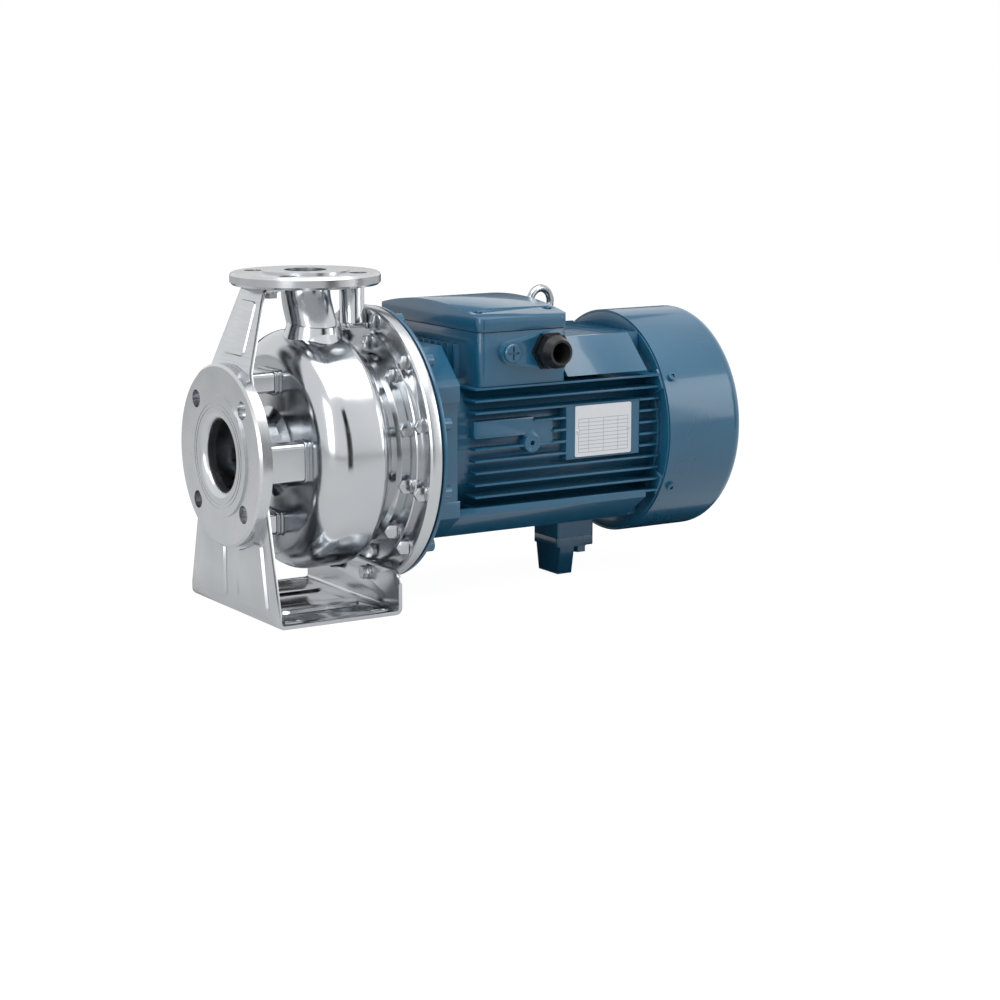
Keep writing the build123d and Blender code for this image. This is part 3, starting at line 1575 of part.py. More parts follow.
# Lifting eye screwed into its boss, the ring turned a little from the cross plane
eye_seat = shaft_height + frame_half + eye_boss_height
eye_centre = eye_seat + eye_base_height + eye_ring_radius + eye_wire_radius - eye_sink
eye_plane = Plane(
    origin=(eye_x, 0, eye_centre),
    x_dir=(0, 0, 1),
    z_dir=(-sin(radians(eye_turn)), cos(radians(eye_turn)), 0),
)
with BuildPart() as lifting_eye:
    with BuildSketch(Plane.XY.offset(eye_seat)):
        with Locations((eye_x, 0)):
            Circle(eye_base_radius)
    extrude(amount=eye_base_height, taper=eye_base_draft)
    with BuildSketch(Plane.XY.offset(eye_seat)):
        with Locations((eye_x, 0)):
            Circle(eye_thread_radius)
    extrude(amount=-eye_thread_length)
    with BuildSketch(eye_plane):
        with Locations((-eye_ring_radius, 0)):
            RegularPolygon(eye_wire_radius, 8)
    revolve(axis=Axis((eye_x, 0, eye_centre), (cos(radians(eye_turn)), sin(radians(eye_turn)), 0)))

# Blank rating plate with two rivets
boss_face = frame_half - plate_block_drop
rivet_spots = [
    (plate_x + hand * (plate_length / 2 - rivet_inset), shaft_height + plate_z) for hand in (-1, 1)
]
with BuildPart() as nameplate:
    with BuildSketch(Plane.XZ.offset(boss_face)):
        with Locations((plate_x, shaft_height + plate_z)):
            RectangleRounded(plate_length, plate_height, 2)
        with Locations(*rivet_spots):
            Circle(rivet_radius - rivet_head / 2, mode=Mode.SUBTRACT)
    extrude(amount=plate_thickness)
with BuildPart() as plate_rivets:
    with BuildSketch(Plane.XZ.offset(boss_face)):
        with Locations(*rivet_spots):
            Circle(rivet_radius - rivet_head / 2)
    extrude(amount=plate_thickness)
    with BuildSketch(Plane.XZ.offset(boss_face + plate_thickness)):
        with Locations(*rivet_spots):
            Circle(rivet_radius)
    extrude(amount=rivet_head, taper=25)

pieces = {
    "suction_flange": suction_flange,
    "discharge_flange": discharge_flange_tapped,
    "discharge_pipe": discharge_pipe,
    "pump_casing": pump_casing,
    "foot_bracket": foot_bracket,
    "arm_screws": arm_screws,
    "suction_stays": suction_stays,
    "discharge_stay": discharge_stay,
    "casing_bolts": casing_bolts,
    "adapter_bolts": adapter_bolts,
    "foot_bolts": foot_bolts,
    "foot_spacers": foot_spacers,
    "back_cover": back_cover,
    "casing_o_ring": casing_o_ring,
    "adapter_ring": adapter_ring,
    "wear_ring": wear_ring,
    "rotor_shaft": rotor_shaft,
    "impeller_key": impeller_key,
    "impeller": impeller,
    "impeller_washer": impeller_washer,
    "impeller_nut": impeller_nut,
    "seal_seat": seal_seat,
    "seal_seat_cup": seal_seat_cup,
    "seal_face": seal_face,
    "seal_collar": seal_collar,
    "seal_bellows": seal_bellows,
    "shaft_slinger": shaft_slinger,
    "motor_bracket": motor_bracket,
    "motor_housing": motor_housing,
    "side_plug": side_plug,
    "motor_support": motor_support,
    "support_screws": support_screws,
    "stator_core": stator_core,
    "stator_windings": stator_windings,
    "rotor_core": rotor_core,
    "rotor_end_rings": rotor_end_rings,
    "drive_bearing_inner": drive_bearing_inner,
    "drive_bearing_outer": drive_bearing_outer,
    "rear_bearing_inner": rear_bearing_inner,
    "rear_bearing_outer": rear_bearing_outer,
    "rear_endshield": rear_endshield,
    "shield_screws": shield_screws,
    "cooling_fan": cooling_fan,
    "fan_circlip": fan_circlip,
    "fan_cover": fan_cover,
    "fan_cover_screws": fan_cover_screws,
    "terminal_box": terminal_box,
    "terminal_gasket": terminal_gasket,
    "terminal_lid": terminal_lid,
    "lid_screws": lid_screws,
    "terminal_board": terminal_board,
    "terminal_studs": terminal_studs,
    "blanking_plug": blanking_plug,
    "gland_body": gland_body,
    "gland_seal": gland_seal,
    "gland_nut": gland_nut,
    "lifting_eye": lifting_eye,
    "nameplate": nameplate,
    "plate_rivets": plate_rivets,
}
for piece_name, piece in pieces.items():
    piece.part.label = piece_name
    export_step(piece.part, f"parts/{piece_name}.step")
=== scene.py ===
"""Studio scene of a close-coupled centrifugal pump with its electric motor.

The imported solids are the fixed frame. This script gives each one its finish, models the
fasteners, softened edges, welds and printed plate, and sets the camera, floor and lamps.
"""

import json
import logging
import math
from dataclasses import dataclass, field
from enum import Enum

import bpy
from mathutils import Matrix, Vector

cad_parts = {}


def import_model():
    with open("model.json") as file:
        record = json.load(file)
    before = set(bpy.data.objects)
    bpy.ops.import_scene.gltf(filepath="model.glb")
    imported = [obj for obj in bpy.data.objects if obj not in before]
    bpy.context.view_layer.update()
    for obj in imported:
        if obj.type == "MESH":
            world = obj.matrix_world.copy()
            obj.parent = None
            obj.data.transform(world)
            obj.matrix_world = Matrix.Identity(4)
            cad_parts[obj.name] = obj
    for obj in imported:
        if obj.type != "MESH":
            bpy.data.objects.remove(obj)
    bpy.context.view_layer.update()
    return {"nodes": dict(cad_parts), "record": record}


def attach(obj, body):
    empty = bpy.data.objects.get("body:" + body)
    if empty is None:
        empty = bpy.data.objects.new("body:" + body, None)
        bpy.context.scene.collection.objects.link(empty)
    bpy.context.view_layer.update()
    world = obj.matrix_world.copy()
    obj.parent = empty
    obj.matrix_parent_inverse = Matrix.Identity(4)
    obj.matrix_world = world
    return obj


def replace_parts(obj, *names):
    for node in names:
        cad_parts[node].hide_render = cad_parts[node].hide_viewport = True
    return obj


MM = 0.001
SHAFT_Z = 160.0 * MM
LOG = logging.getLogger("pump_scene")


class Body(Enum):
    """The two rigid bodies that a piece can ride on."""

    FRAME = "pump_frame"
    ROTOR = "rotor"


def linear(code: str) -> tuple[float, float, float, float]:
    """Turn an sRGB hex value into a linear colour.

    Args:
        code: Six hex digits, with or without a leading hash.

    Returns:
        Linear red, green and blue with an alpha of one.
    """
    digits = code.lstrip("#")
    parts = [int(digits[place : place + 2], 16) / 255 for place in (0, 2, 4)]
    bent = [part / 12.92 if part <= 0.04045 else ((part + 0.055) / 1.055) ** 2.4 for part in parts]
    return bent[0], bent[1], bent[2], 1.0


def add_node(tree: bpy.types.NodeTree, kind: str, settings: dict | None = None, inputs: dict | None = None) -> bpy.types.Node:
    """Add a shader node with its settings and its inputs.

    Args:
        tree: The node tree that gets the node.
        kind: Blender's type name of the node.
        settings: Attribute names and their values.
        inputs: Socket names or numbers, each with a value or with a socket to link from.

    Returns:
        The new node.
    """
    node = tree.nodes.new(kind)
    for name, value in (settings or {}).items():
        setattr(node, name, value)
    for name, value in (inputs or {}).items():
        if isinstance(value, bpy.types.NodeSocket):
            tree.links.new(value, node.inputs[name])
        else:
            node.inputs[name].default_value = value
    return node


def new_material(name: str) -> tuple[bpy.types.Material, bpy.types.NodeTree]:
    """Make an empty node material.

    Args:
        name: Name of the material.

    Returns:
        The material and its empty node tree.
    """
    material = bpy.data.materials.new(name)
    material.use_nodes = True
    material.node_tree.nodes.clear()
    return material, material.node_tree


def close_material(tree: bpy.types.NodeTree, shader: bpy.types.NodeSocket) -> None:
    """Link a shader to the material output.

    Args:
        tree: The material's node tree.
        shader: The socket that gives the finished surface.
    """
    add_node(tree, "ShaderNodeOutputMaterial", inputs={"Surface": shader})


@dataclass(frozen=True)
class SpunStainless:
    """Stainless sheet, spun and polished: bright reflections with faint rings left by the tool."""

    name: str = "spun_stainless"
    colour: str = "#C9CCCF"
    roughness_low: float = 0.11
    roughness_high: float = 0.22
    ring_mm: float = 1.6
    ring_depth_mm: float = 0.006
    cloud_mm: float = 38.0

    def build(self) -> bpy.types.Material:
        """Make the material.

        Returns:
            A metal whose rings run round the shaft axis.
        """
        material, tree = new_material(self.name)
        place = add_node(tree, "ShaderNodeTexCoord")
        centred = add_node(
            tree, "ShaderNodeMapping", inputs={"Vector": place.outputs["Object"], "Location": (0, 0, -SHAFT_Z)}
        )
        split = add_node(tree, "ShaderNodeSeparateXYZ", inputs={"Vector": centred.outputs[0]})
        flat = add_node(tree, "ShaderNodeCombineXYZ", inputs={"Y": split.outputs["Y"], "Z": split.outputs["Z"]})
        radius = add_node(tree, "ShaderNodeVectorMath", {"operation": "LENGTH"}, {0: flat.outputs[0]})
        rings = add_node(
            tree, "ShaderNodeCombineXYZ", inputs={"X": split.outputs["X"], "Y": radius.outputs["Value"]}
        )
        tool = add_node(
            tree,
            "ShaderNodeTexNoise",
            {"noise_dimensions": "2D"},
            {"Vector": rings.outputs[0], "Scale": 1 / (self.ring_mm * MM), "Detail": 3.0},
        )
        cloud = add_node(
            tree,
            "ShaderNodeTexNoise",
            inputs={"Vector": centred.outputs[0], "Scale": 1 / (self.cloud_mm * MM), "Detail": 2.0},
        )
        haze = add_node(
            tree,
            "ShaderNodeMapRange",
            inputs={
                "Value": cloud.outputs["Fac"],
                "From Min": 0.3,
                "From Max": 0.7,
                "To Min": self.roughness_low,
                "To Max": self.roughness_high,
            },
        )
        bump = add_node(
            tree,
            "ShaderNodeBump",
            inputs={"Height": tool.outputs["Fac"], "Distance": self.ring_depth_mm * MM, "Strength": 0.6},
        )
        tint = add_node(
            tree,
            "ShaderNodeMix",
            {"data_type": "RGBA"},
            {"Factor": cloud.outputs["Fac"], "A": linear("#BDC1C5"), "B": linear(self.colour)},
        )
        shader = add_node(
            tree,
            "ShaderNodeBsdfPrincipled",
            inputs={
                "Base Color": tint.outputs["Result"],
                "Metallic": 1.0,
                "Roughness": haze.outputs["Result"],
                "Normal": bump.outputs["Normal"],
            },
        )
        close_material(tree, shader.outputs["BSDF"])
        return material


@dataclass(frozen=True)
class SheetStainless:
    """Bright rolled stainless sheet: fine grain along one direction and soft stains of handling."""

    name: str = "sheet_stainless"
    colour: str = "#CDD0D3"
    roughness_low: float = 0.14
    roughness_high: float = 0.26
    grain_mm: tuple[float, float, float] = (0.7, 40.0, 40.0)
    grain_depth_mm: float = 0.004

    def build(self) -> bpy.types.Material:
        """Make the material.

        Returns:
            A metal with stretched grain.
        """
        material, tree = new_material(self.name)
        place = add_node(tree, "ShaderNodeTexCoord")
        stretched = add_node(
            tree,
            "ShaderNodeMapping",
            inputs={"Vector": place.outputs["Object"], "Scale": tuple(1 / (size * MM) for size in self.grain_mm)},
        )
        grain = add_node(
            tree, "ShaderNodeTexNoise", inputs={"Vector": stretched.outputs[0], "Scale": 1.0, "Detail": 4.0}
        )
        stain = add_node(
            tree, "ShaderNodeTexNoise", inputs={"Vector": place.outputs["Object"], "Scale": 22.0, "Detail": 3.0}
        )
        haze = add_node(
            tree,
            "ShaderNodeMapRange",
            inputs={
                "Value": stain.outputs["Fac"],
                "From Min": 0.3,
                "From Max": 0.7,
                "To Min": self.roughness_low,
                "To Max": self.roughness_high,
            },
        )
        bump = add_node(
            tree,
            "ShaderNodeBump",
            inputs={"Height": grain.outputs["Fac"], "Distance": self.grain_depth_mm * MM, "Strength": 0.5},
        )
        tint = add_node(
            tree,
            "ShaderNodeMix",
            {"data_type": "RGBA"},
            {"Factor": grain.outputs["Fac"], "A": linear("#B9BDC1"), "B": linear(self.colour)},
        )
        shader = add_node(
            tree,
            "ShaderNodeBsdfPrincipled",
            inputs={
                "Base Color": tint.outputs["Result"],
                "Metallic": 1.0,
                "Roughness": haze.outputs["Result"],
                "Normal": bump.outputs["Normal"],
            },
        )
        close_material(tree, shader.outputs["BSDF"])
        return material


@dataclass(frozen=True)
class EnamelPaint:
    """Two-part enamel sprayed on castings: a semi-gloss skin with orange peel over the cast grain."""

    name: str = "blue_enamel"
    colour: str = "#1C5E7E"
    shade: str = "#164F6C"
    roughness: float = 0.3
    peel_mm: float = 1.8
    peel_depth_mm: float = 0.012
    coat: float = 0.5
    coat_roughness: float = 0.08

    def build(self) -> bpy.types.Material:
        """Make the material.

        Returns:
            A coated paint with a faint skin relief.
        """
        material, tree = new_material(self.name)
        place = add_node(tree, "ShaderNodeTexCoord")
        peel = add_node(
            tree,
            "ShaderNodeTexNoise",
            inputs={"Vector": place.outputs["Object"], "Scale": 1 / (self.peel_mm * MM), "Detail": 2.0},
        )
        cloud = add_node(
            tree, "ShaderNodeTexNoise", inputs={"Vector": place.outputs["Object"], "Scale": 14.0, "Detail": 3.0}
        )
        tint = add_node(
            tree,
            "ShaderNodeMix",
            {"data_type": "RGBA"},
            {"Factor": cloud.outputs["Fac"], "A": linear(self.shade), "B": linear(self.colour)},
        )
        skin = add_node(
            tree,
            "ShaderNodeMapRange",
            inputs={
                "Value": cloud.outputs["Fac"],
                "From Min": 0.3,
                "From Max": 0.7,
                "To Min": self.roughness - 0.04,
                "To Max": self.roughness + 0.05,
            },
        )
        bump = add_node(
            tree,
            "ShaderNodeBump",
            inputs={"Height": peel.outputs["Fac"], "Distance": self.peel_depth_mm * MM, "Strength": 0.5},
        )
        shader = add_node(
            tree,
            "ShaderNodeBsdfPrincipled",
            inputs={
                "Base Color": tint.outputs["Result"],
                "Metallic": 0.0,
                "Roughness": skin.outputs["Result"],
                "IOR": 1.5,
                "Coat Weight": self.coat,
                "Coat Roughness": self.coat_roughness,
                "Normal": bump.outputs["Normal"],
            },
        )
        close_material(tree, shader.outputs["BSDF"])
        return material


@dataclass(frozen=True)
class SpeckledSolid:
    """A moulded, cast, turned or plated solid: one tone broken by fine speckle and uneven gloss."""

    name: str
    colour: str
    shade: str
    roughness: float
    metallic: float = 0.0
    grain_mm: float = 0.8
    grain_depth_mm: float = 0.01
    ior: float = 1.5

    def build(self) -> bpy.types.Material:
        """Make the material.

        Returns:
            A solid with grain in its colour, gloss and relief.
        """
        material, tree = new_material(self.name)
        place = add_node(tree, "ShaderNodeTexCoord")
        grain = add_node(
            tree,
            "ShaderNodeTexNoise",
            inputs={"Vector": place.outputs["Object"], "Scale": 1 / (self.grain_mm * MM), "Detail": 3.0},
        )
        cloud = add_node(
            tree, "ShaderNodeTexNoise", inputs={"Vector": place.outputs["Object"], "Scale": 60.0, "Detail": 2.0}
        )
        tint = add_node(
            tree,
            "ShaderNodeMix",
            {"data_type": "RGBA"},
            {"Factor": cloud.outputs["Fac"], "A": linear(self.shade), "B": linear(self.colour)},
        )
        gloss = add_node(
            tree,
            "ShaderNodeMapRange",
            inputs={
                "Value": cloud.outputs["Fac"],
                "From Min": 0.3,
                "From Max": 0.7,
                "To Min": max(self.roughness - 0.06, 0.03),
                "To Max": self.roughness + 0.06,
            },
        )
        bump = add_node(
            tree,
            "ShaderNodeBump",
            inputs={"Height": grain.outputs["Fac"], "Distance": self.grain_depth_mm * MM, "Strength": 0.5},
        )
        inputs = {
            "Base Color": tint.outputs["Result"],
            "Metallic": self.metallic,
            "Roughness": gloss.outputs["Result"],
            "Normal": bump.outputs["Normal"],
        }
        if self.metallic == 0.0:
            inputs["IOR"] = self.ior
        shader = add_node(tree, "ShaderNodeBsdfPrincipled", inputs=inputs)
        close_material(tree, shader.outputs["BSDF"])
        return material


@dataclass(frozen=True)
class PrintedPlate:
    """Anodised aluminium plate with an empty printed table: thin grey rules under a bare head strip."""

    name: str = "printed_plate"
    corner_mm: tuple[float, float] = (256.5, 142.5)
    size_mm: tuple[float, float] = (70.0, 53.0)
    rows: int = 9
    columns: tuple[float, ...] = (0.24, 0.5, 0.76)
    field: tuple[float, float, float, float] = (0.06, 0.94, 0.08, 0.74)
    rule_mm: float = 0.55

    def compare(self, tree: bpy.types.NodeTree, value: bpy.types.NodeSocket, place: float, width: float) -> bpy.types.NodeSocket:
        """Mark a narrow band of a coordinate.

        Args:
            tree: The material's node tree.
            value: The coordinate.
            place: Middle of the band.
            width: Half width of the band.

        Returns:
            One inside the band and nought outside.
        """
        return add_node(tree, "ShaderNodeMath", {"operation": "COMPARE"}, {0: value, 1: place, 2: width}).outputs[0]

    def build(self) -> bpy.types.Material:
        """Make the material.

        Returns:
            A pale metal with rows and columns ruled on it.
        """
        material, tree = new_material(self.name)
        place = add_node(tree, "ShaderNodeTexCoord")
        scaled = add_node(
            tree,
            "ShaderNodeMapping",
            inputs={
                "Vector": place.outputs["Object"],
                "Scale": (1 / (self.size_mm[0] * MM), 1, 1 / (self.size_mm[1] * MM)),
                "Location": (-self.corner_mm[0] / self.size_mm[0], 0, -self.corner_mm[1] / self.size_mm[1]),
            },
        )
        split = add_node(tree, "ShaderNodeSeparateXYZ", inputs={"Vector": scaled.outputs[0]})
        across, up = split.outputs["X"], split.outputs["Z"]
        left, right, bottom, top = self.field
        pitch = (top - bottom) / self.rows
        lifted = add_node(tree, "ShaderNodeMath", {"operation": "SUBTRACT"}, {0: up, 1: bottom - pitch / 2})
        wrapped = add_node(tree, "ShaderNodeMath", {"operation": "FLOORED_MODULO"}, {0: lifted.outputs[0], 1: pitch})
        lines = self.compare(tree, wrapped.outputs[0], pitch / 2, self.rule_mm / self.size_mm[1] / 2)
        for column in (left, *self.columns, right):
            rule = self.compare(tree, across, column, self.rule_mm / self.size_mm[0] / 2)
            lines = add_node(tree, "ShaderNodeMath", {"operation": "MAXIMUM"}, {0: lines, 1: rule}).outputs[0]
        within = self.compare(tree, across, (left + right) / 2, (right - left) / 2 + 0.004)
        level = self.compare(tree, up, (bottom + top) / 2, (top - bottom) / 2 + 0.006)
        inside = add_node(tree, "ShaderNodeMath", {"operation": "MULTIPLY"}, {0: within, 1: level}).outputs[0]
        ruled = add_node(tree, "ShaderNodeMath", {"operation": "MULTIPLY"}, {0: lines, 1: inside}).outputs[0]
        grain = add_node(
            tree, "ShaderNodeTexNoise", inputs={"Vector": place.outputs["Object"], "Scale": 900.0, "Detail": 2.0}
        )
        ground = add_node(
            tree,
            "ShaderNodeMix",
            {"data_type": "RGBA"},
            {"Factor": grain.outputs["Fac"], "A": linear("#CDD0D4"), "B": linear("#DADCDF")},
        )
        ink = add_node(
            tree,
            "ShaderNodeMix",
            {"data_type": "RGBA"},
            {"Factor": ruled, "A": ground.outputs["Result"], "B": linear("#98A0A7")},
        )
        gloss = add_node(
            tree, "ShaderNodeMapRange", inputs={"Value": grain.outputs["Fac"], "To Min": 0.3, "To Max": 0.48}
        )
        shader = add_node(
            tree,
            "ShaderNodeBsdfPrincipled",
            inputs={"Base Color": ink.outputs["Result"], "Metallic": 0.3, "Roughness": gloss.outputs["Result"]},
        )
        close_material(tree, shader.outputs["BSDF"])
        return material


class FinishShelf:
    """Builds each finish once and hands it out by the record's slot name."""

    recipes: dict[str, object] = {
        "stainless_polished": SpunStainless(),
        "stainless_machined": SpunStainless(
            name="turned_stainless", colour="#D2D4D6", roughness_low=0.2, roughness_high=0.3, ring_mm=0.8
        ),
        "stainless_sheet": SheetStainless(),
        "stainless_screw": SpeckledSolid("stainless_screw", "#C6C9CC", "#A9ADB1", 0.22, 1.0),
        "zinc_steel": SpeckledSolid("zinc_steel", "#C3C7CB", "#A2A8AE", 0.24, 1.0),
        "shaft_steel": SpeckledSolid("shaft_steel", "#A9ABAD", "#8F9294", 0.22, 1.0),
        "bearing_steel": SpeckledSolid("bearing_steel", "#B4B6B8", "#9C9EA0", 0.2, 1.0),
        "support_steel": EnamelPaint(name="support_enamel", colour="#175271", shade="#12445E"),
        "motor_paint": EnamelPaint(),
        "lamination": SpeckledSolid("lamination", "#5A5B5D", "#434446", 0.5, 0.8),
        "copper_winding": SpeckledSolid("copper_winding", "#A5653A", "#7C4526", 0.35, 0.6),
        "cast_aluminium": SpeckledSolid("cast_aluminium", "#B2B4B6", "#9B9EA0", 0.4, 1.0),
        "plate_aluminium": PrintedPlate(),
        "rubber_black": SpeckledSolid("rubber_black", "#1B1B1C", "#121213", 0.6),
        "gland_plastic": SpeckledSolid("gland_plastic", "#17191B", "#0E0F11", 0.3),
        "plug_plastic": EnamelPaint(name="painted_plug", colour="#1C5E7E", shade="#164F6C"),
        "fan_plastic": SpeckledSolid("fan_plastic", "#1C1D1F", "#131415", 0.45),
        "board_plastic": SpeckledSolid("board_plastic", "#5E4128", "#47301C", 0.5),
        "stud_brass": SpeckledSolid("stud_brass", "#C9A55A", "#A98743", 0.25, 1.0),
        "seal_ceramic": SpeckledSolid("seal_ceramic", "#E2DFD6", "#D3CFC4", 0.25),
        "seal_carbon": SpeckledSolid("seal_carbon", "#232427", "#18191B", 0.3),
    }

    def __init__(self) -> None:
        """Start with nothing built."""
        self.built: dict[str, bpy.types.Material] = {}

    def take(self, slot: str) -> bpy.types.Material:
        """Give the material of a slot, building it at its first use.

        Args:
            slot: A material slot of the record.

        Returns:
            The material.
        """
        if slot not in self.built:
            self.built[slot] = self.recipes[slot].build()
        return self.built[slot]

    def dress(self, piece: bpy.types.Object, slot: str) -> None:
        """Give a piece one finish all over.

        Args:
            piece: The object to dress.
            slot: A material slot of the record.
        """
        piece.data.materials.clear()
        piece.data.materials.append(self.take(slot))


def clear_selection() -> None:
    """Leave object mode with nothing selected and nothing active."""
    if bpy.context.object and bpy.context.object.mode != "OBJECT":
        bpy.ops.object.mode_set(mode="OBJECT")
    bpy.ops.object.select_all(action="DESELECT")
    bpy.context.view_layer.objects.active = None


def make_active(piece: bpy.types.Object) -> None:
    """Select one object alone and make it active.

    Args:
        piece: The object to select.
    """
    clear_selection()
    piece.select_set(True)
    bpy.context.view_layer.objects.active = piece


def settle(piece: bpy.types.Object, name: str) -> bpy.types.Object:
    """Name a piece and bake its place into its mesh.

    Args:
        piece: The finished object.
        name: Its name.

    Returns:
        The same object at the origin, unturned and unscaled.
    """
    make_active(piece)
    bpy.ops.object.transform_apply(location=True, rotation=True, scale=True)
    piece.name = name
    piece.data.name = name
    return piece


def softened_copy(node: str, name: str, width_mm: float, segments: int = 2, angle: float = 32.0) -> bpy.types.Object:
    """Copy a CAD node with its doubles merged and its sharp edges rounded.

    Args:
        node: The CAD node to copy.
        name: Name of the new piece.
        width_mm: Width of the rounding.
        segments: Faces across the rounding.
        angle: Edges sharper than this many degrees are rounded.

    Returns:
        The piece, which stands for the node.
    """
    source = bpy.data.objects[node]
    piece = bpy.data.objects.new(name, source.data.copy())
    bpy.context.scene.collection.objects.link(piece)
    make_active(piece)
    bpy.ops.object.mode_set(mode="EDIT")
    bpy.ops.mesh.select_all(action="SELECT")
    bpy.ops.mesh.remove_doubles(threshold=0.000002)
    bpy.ops.mesh.dissolve_limited(angle_limit=math.radians(0.6), delimit={"MATERIAL"})
    bpy.ops.object.mode_set(mode="OBJECT")
    if piece.data.attributes.get("custom_normal"):
        bpy.ops.mesh.customdata_custom_splitnormals_clear()
    bevel = piece.modifiers.new("edge_round", "BEVEL")
    bevel.width = width_mm * MM
    bevel.segments = segments
    bevel.limit_method = "ANGLE"
    bevel.angle_limit = math.radians(angle)
    bevel.use_clamp_overlap = True
    bevel.harden_normals = False
    bpy.ops.object.modifier_apply(modifier=bevel.name)
    bpy.ops.object.shade_smooth_by_angle(angle=math.radians(angle))
    return piece


@dataclass
class Studio:
    """Camera, floor, world and lamps."""

    azimuth: float = -32.01
    elevation: float = 10.33
    roll: float = -0.09
    distance: float = 2.64537
    target: tuple[float, float, float] = (0.22957, 0.0, 0.08439)
    lens: float = 89.525
    floor_in_view: float = 0.77
    floor_in_metal: float = 0.3
    lamps: list[tuple[str, tuple[float, float, float], tuple[float, float], float]] = field(
        default_factory=lambda: [
            ("lamp_above", (0.2, -0.5, 2.0), (2.2, 1.4), 34.0),
            ("lamp_left", (-1.9, -1.3, 1.0), (0.9, 1.6), 16.0),
            ("lamp_right", (1.9, -1.6, 0.9), (0.7, 1.4), 9.0),
        ]
    )
    # Unlit sheets hidden from the camera, diffuse light and shadows: painted dark reflections in the polished steel.
    reflection_flags: list[tuple[str, tuple[float, float, float], tuple[float, float]]] = field(
        default_factory=lambda: [
            ("flag_front", (0.17, -0.80, 0.42), (0.24, 0.84)),
            ("flag_behind", (0.62, 0.95, 0.23), (1.0, 0.40)),
            ("flag_over", (0.75, 0.95, 1.05), (0.9, 0.35)),
            ("flag_right", (1.35, -0.75, 0.30), (0.35, 0.60)),
        ]
    )
    # Dark sheets on the floor that only reflections show: painted shade of the floor under the pump, and a painted
    # darker floor behind it.
    dark_floor_reflections: list[tuple[str, tuple[float, float], tuple[float, float], float]] = field(
        default_factory=lambda: [
            ("mat_under", (0.34, 0.06), (0.44, 0.24), 0.0),
            ("mat_behind", (0.50, 0.85), (0.90, 0.90), 0.0),
        ]
    )

    def place_camera(self) -> None:
        """Set the camera at the photograph's place."""
        turn, rise = math.radians(self.azimuth), math.radians(self.elevation)
        back = Vector((math.sin(turn) * math.cos(rise), -math.cos(turn) * math.cos(rise), math.sin(rise)))
        data = bpy.data.cameras.new("camera")
        data.lens = self.lens
        data.sensor_width = 36.0
        camera = bpy.data.objects.new("camera", data)
        camera.location = Vector(self.target) + back * self.distance
        face = (-back).to_track_quat("-Z", "Y").to_matrix()
        camera.rotation_euler = (face @ Matrix.Rotation(math.radians(-self.roll), 3, "Z")).to_euler()
        bpy.context.scene.collection.objects.link(camera)
        bpy.context.scene.camera = camera

    def light_world(self) -> None:
        """Make a white surround that fills the shadows and shows in the metal."""
        world = bpy.data.worlds.new("studio_world")
        world.use_nodes = True
        tree = world.node_tree
        tree.nodes.clear()
        path = add_node(tree, "ShaderNodeLightPath")
        seen = add_node(
            tree, "ShaderNodeMath", {"operation": "MAXIMUM"}, {0: path.outputs["Is Camera Ray"], 1: path.outputs["Is Glossy Ray"]}
        )
        shown = add_node(
            tree, "ShaderNodeMath", {"operation": "MAXIMUM"}, {0: seen.outputs[0], 1: path.outputs["Is Transmission Ray"]}
        )
        fill = add_node(tree, "ShaderNodeBackground", inputs={"Color": (1, 1, 1, 1), "Strength": 0.42})
        white = add_node(tree, "ShaderNodeBackground", inputs={"Color": (1, 1, 1, 1), "Strength": 1.0})
        mixed = add_node(tree, "ShaderNodeMixShader", inputs={0: shown.outputs[0], 1: fill.outputs[0], 2: white.outputs[0]})
        add_node(tree, "ShaderNodeOutputWorld", inputs={"Surface": mixed.outputs[0]})
        bpy.context.scene.world = world

    def lay_floor(self) -> None:
        """Lay a wide white floor that keeps a soft shadow."""
        clear_selection()
        bpy.ops.mesh.primitive_plane_add(size=60.0, location=(0, 0, 0))
        floor = settle(bpy.context.object, "studio_floor")
        material, tree = new_material("studio_paper")
        path = add_node(tree, "ShaderNodeLightPath")
        mirrored = add_node(
            tree, "ShaderNodeMath", {"operation": "MAXIMUM"}, {0: path.outputs["Is Glossy Ray"], 1: path.outputs["Is Transmission Ray"]}
        )
        soft = add_node(tree, "ShaderNodeMath", {"operation": "MULTIPLY"}, {0: mirrored.outputs[0], 1: self.floor_in_metal})
        seen = add_node(tree, "ShaderNodeMath", {"operation": "MULTIPLY"}, {0: path.outputs["Is Camera Ray"], 1: self.floor_in_view})
        part = add_node(tree, "ShaderNodeMath", {"operation": "MAXIMUM"}, {0: soft.outputs[0], 1: seen.outputs[0]})
        paper = add_node(tree, "ShaderNodeBsdfDiffuse", inputs={"Color": linear("#C8C8C8")})
        glow = add_node(tree, "ShaderNodeEmission", inputs={"Color": (1, 1, 1, 1), "Strength": 1.25})
        mixed = add_node(tree, "ShaderNodeMixShader", inputs={0: part.outputs[0], 1: paper.outputs[0], 2: glow.outputs[0]})
        close_material(tree, mixed.outputs[0])
        floor.data.materials.append(material)

    def stand_dark_reflections(self) -> None:
        """Stand and lay black flags round the pump that only its shiny surfaces show: painted dark reflections in
        the steel, and painted shade of the floor under the pump.
        """
        material, tree = new_material("painted_dark_reflection")
        # Unlit dark surface that only reflections see: a painted dark reflection.
        dark_reflection = add_node(tree, "ShaderNodeBsdfDiffuse", inputs={"Color": linear("#1A1B1D")})
        close_material(tree, dark_reflection.outputs[0])
        for name, spot, size in self.reflection_flags:
            aim = Vector((self.target[0] - 0.2, 0, SHAFT_Z)) - Vector(spot)
            aim.z = 0 if abs(aim.z) < 0.5 else aim.z
            self.hide_from_camera(name, spot, size, aim.to_track_quat("Z", "Y").to_euler(), material)
        # The floor sheets are painted shade and painted dark floor, seen only in reflections.
        for name, spot, size, turn in self.dark_floor_reflections:
            self.hide_from_camera(name, (spot[0], spot[1], 0.001), size, (0, 0, math.radians(turn)), material)

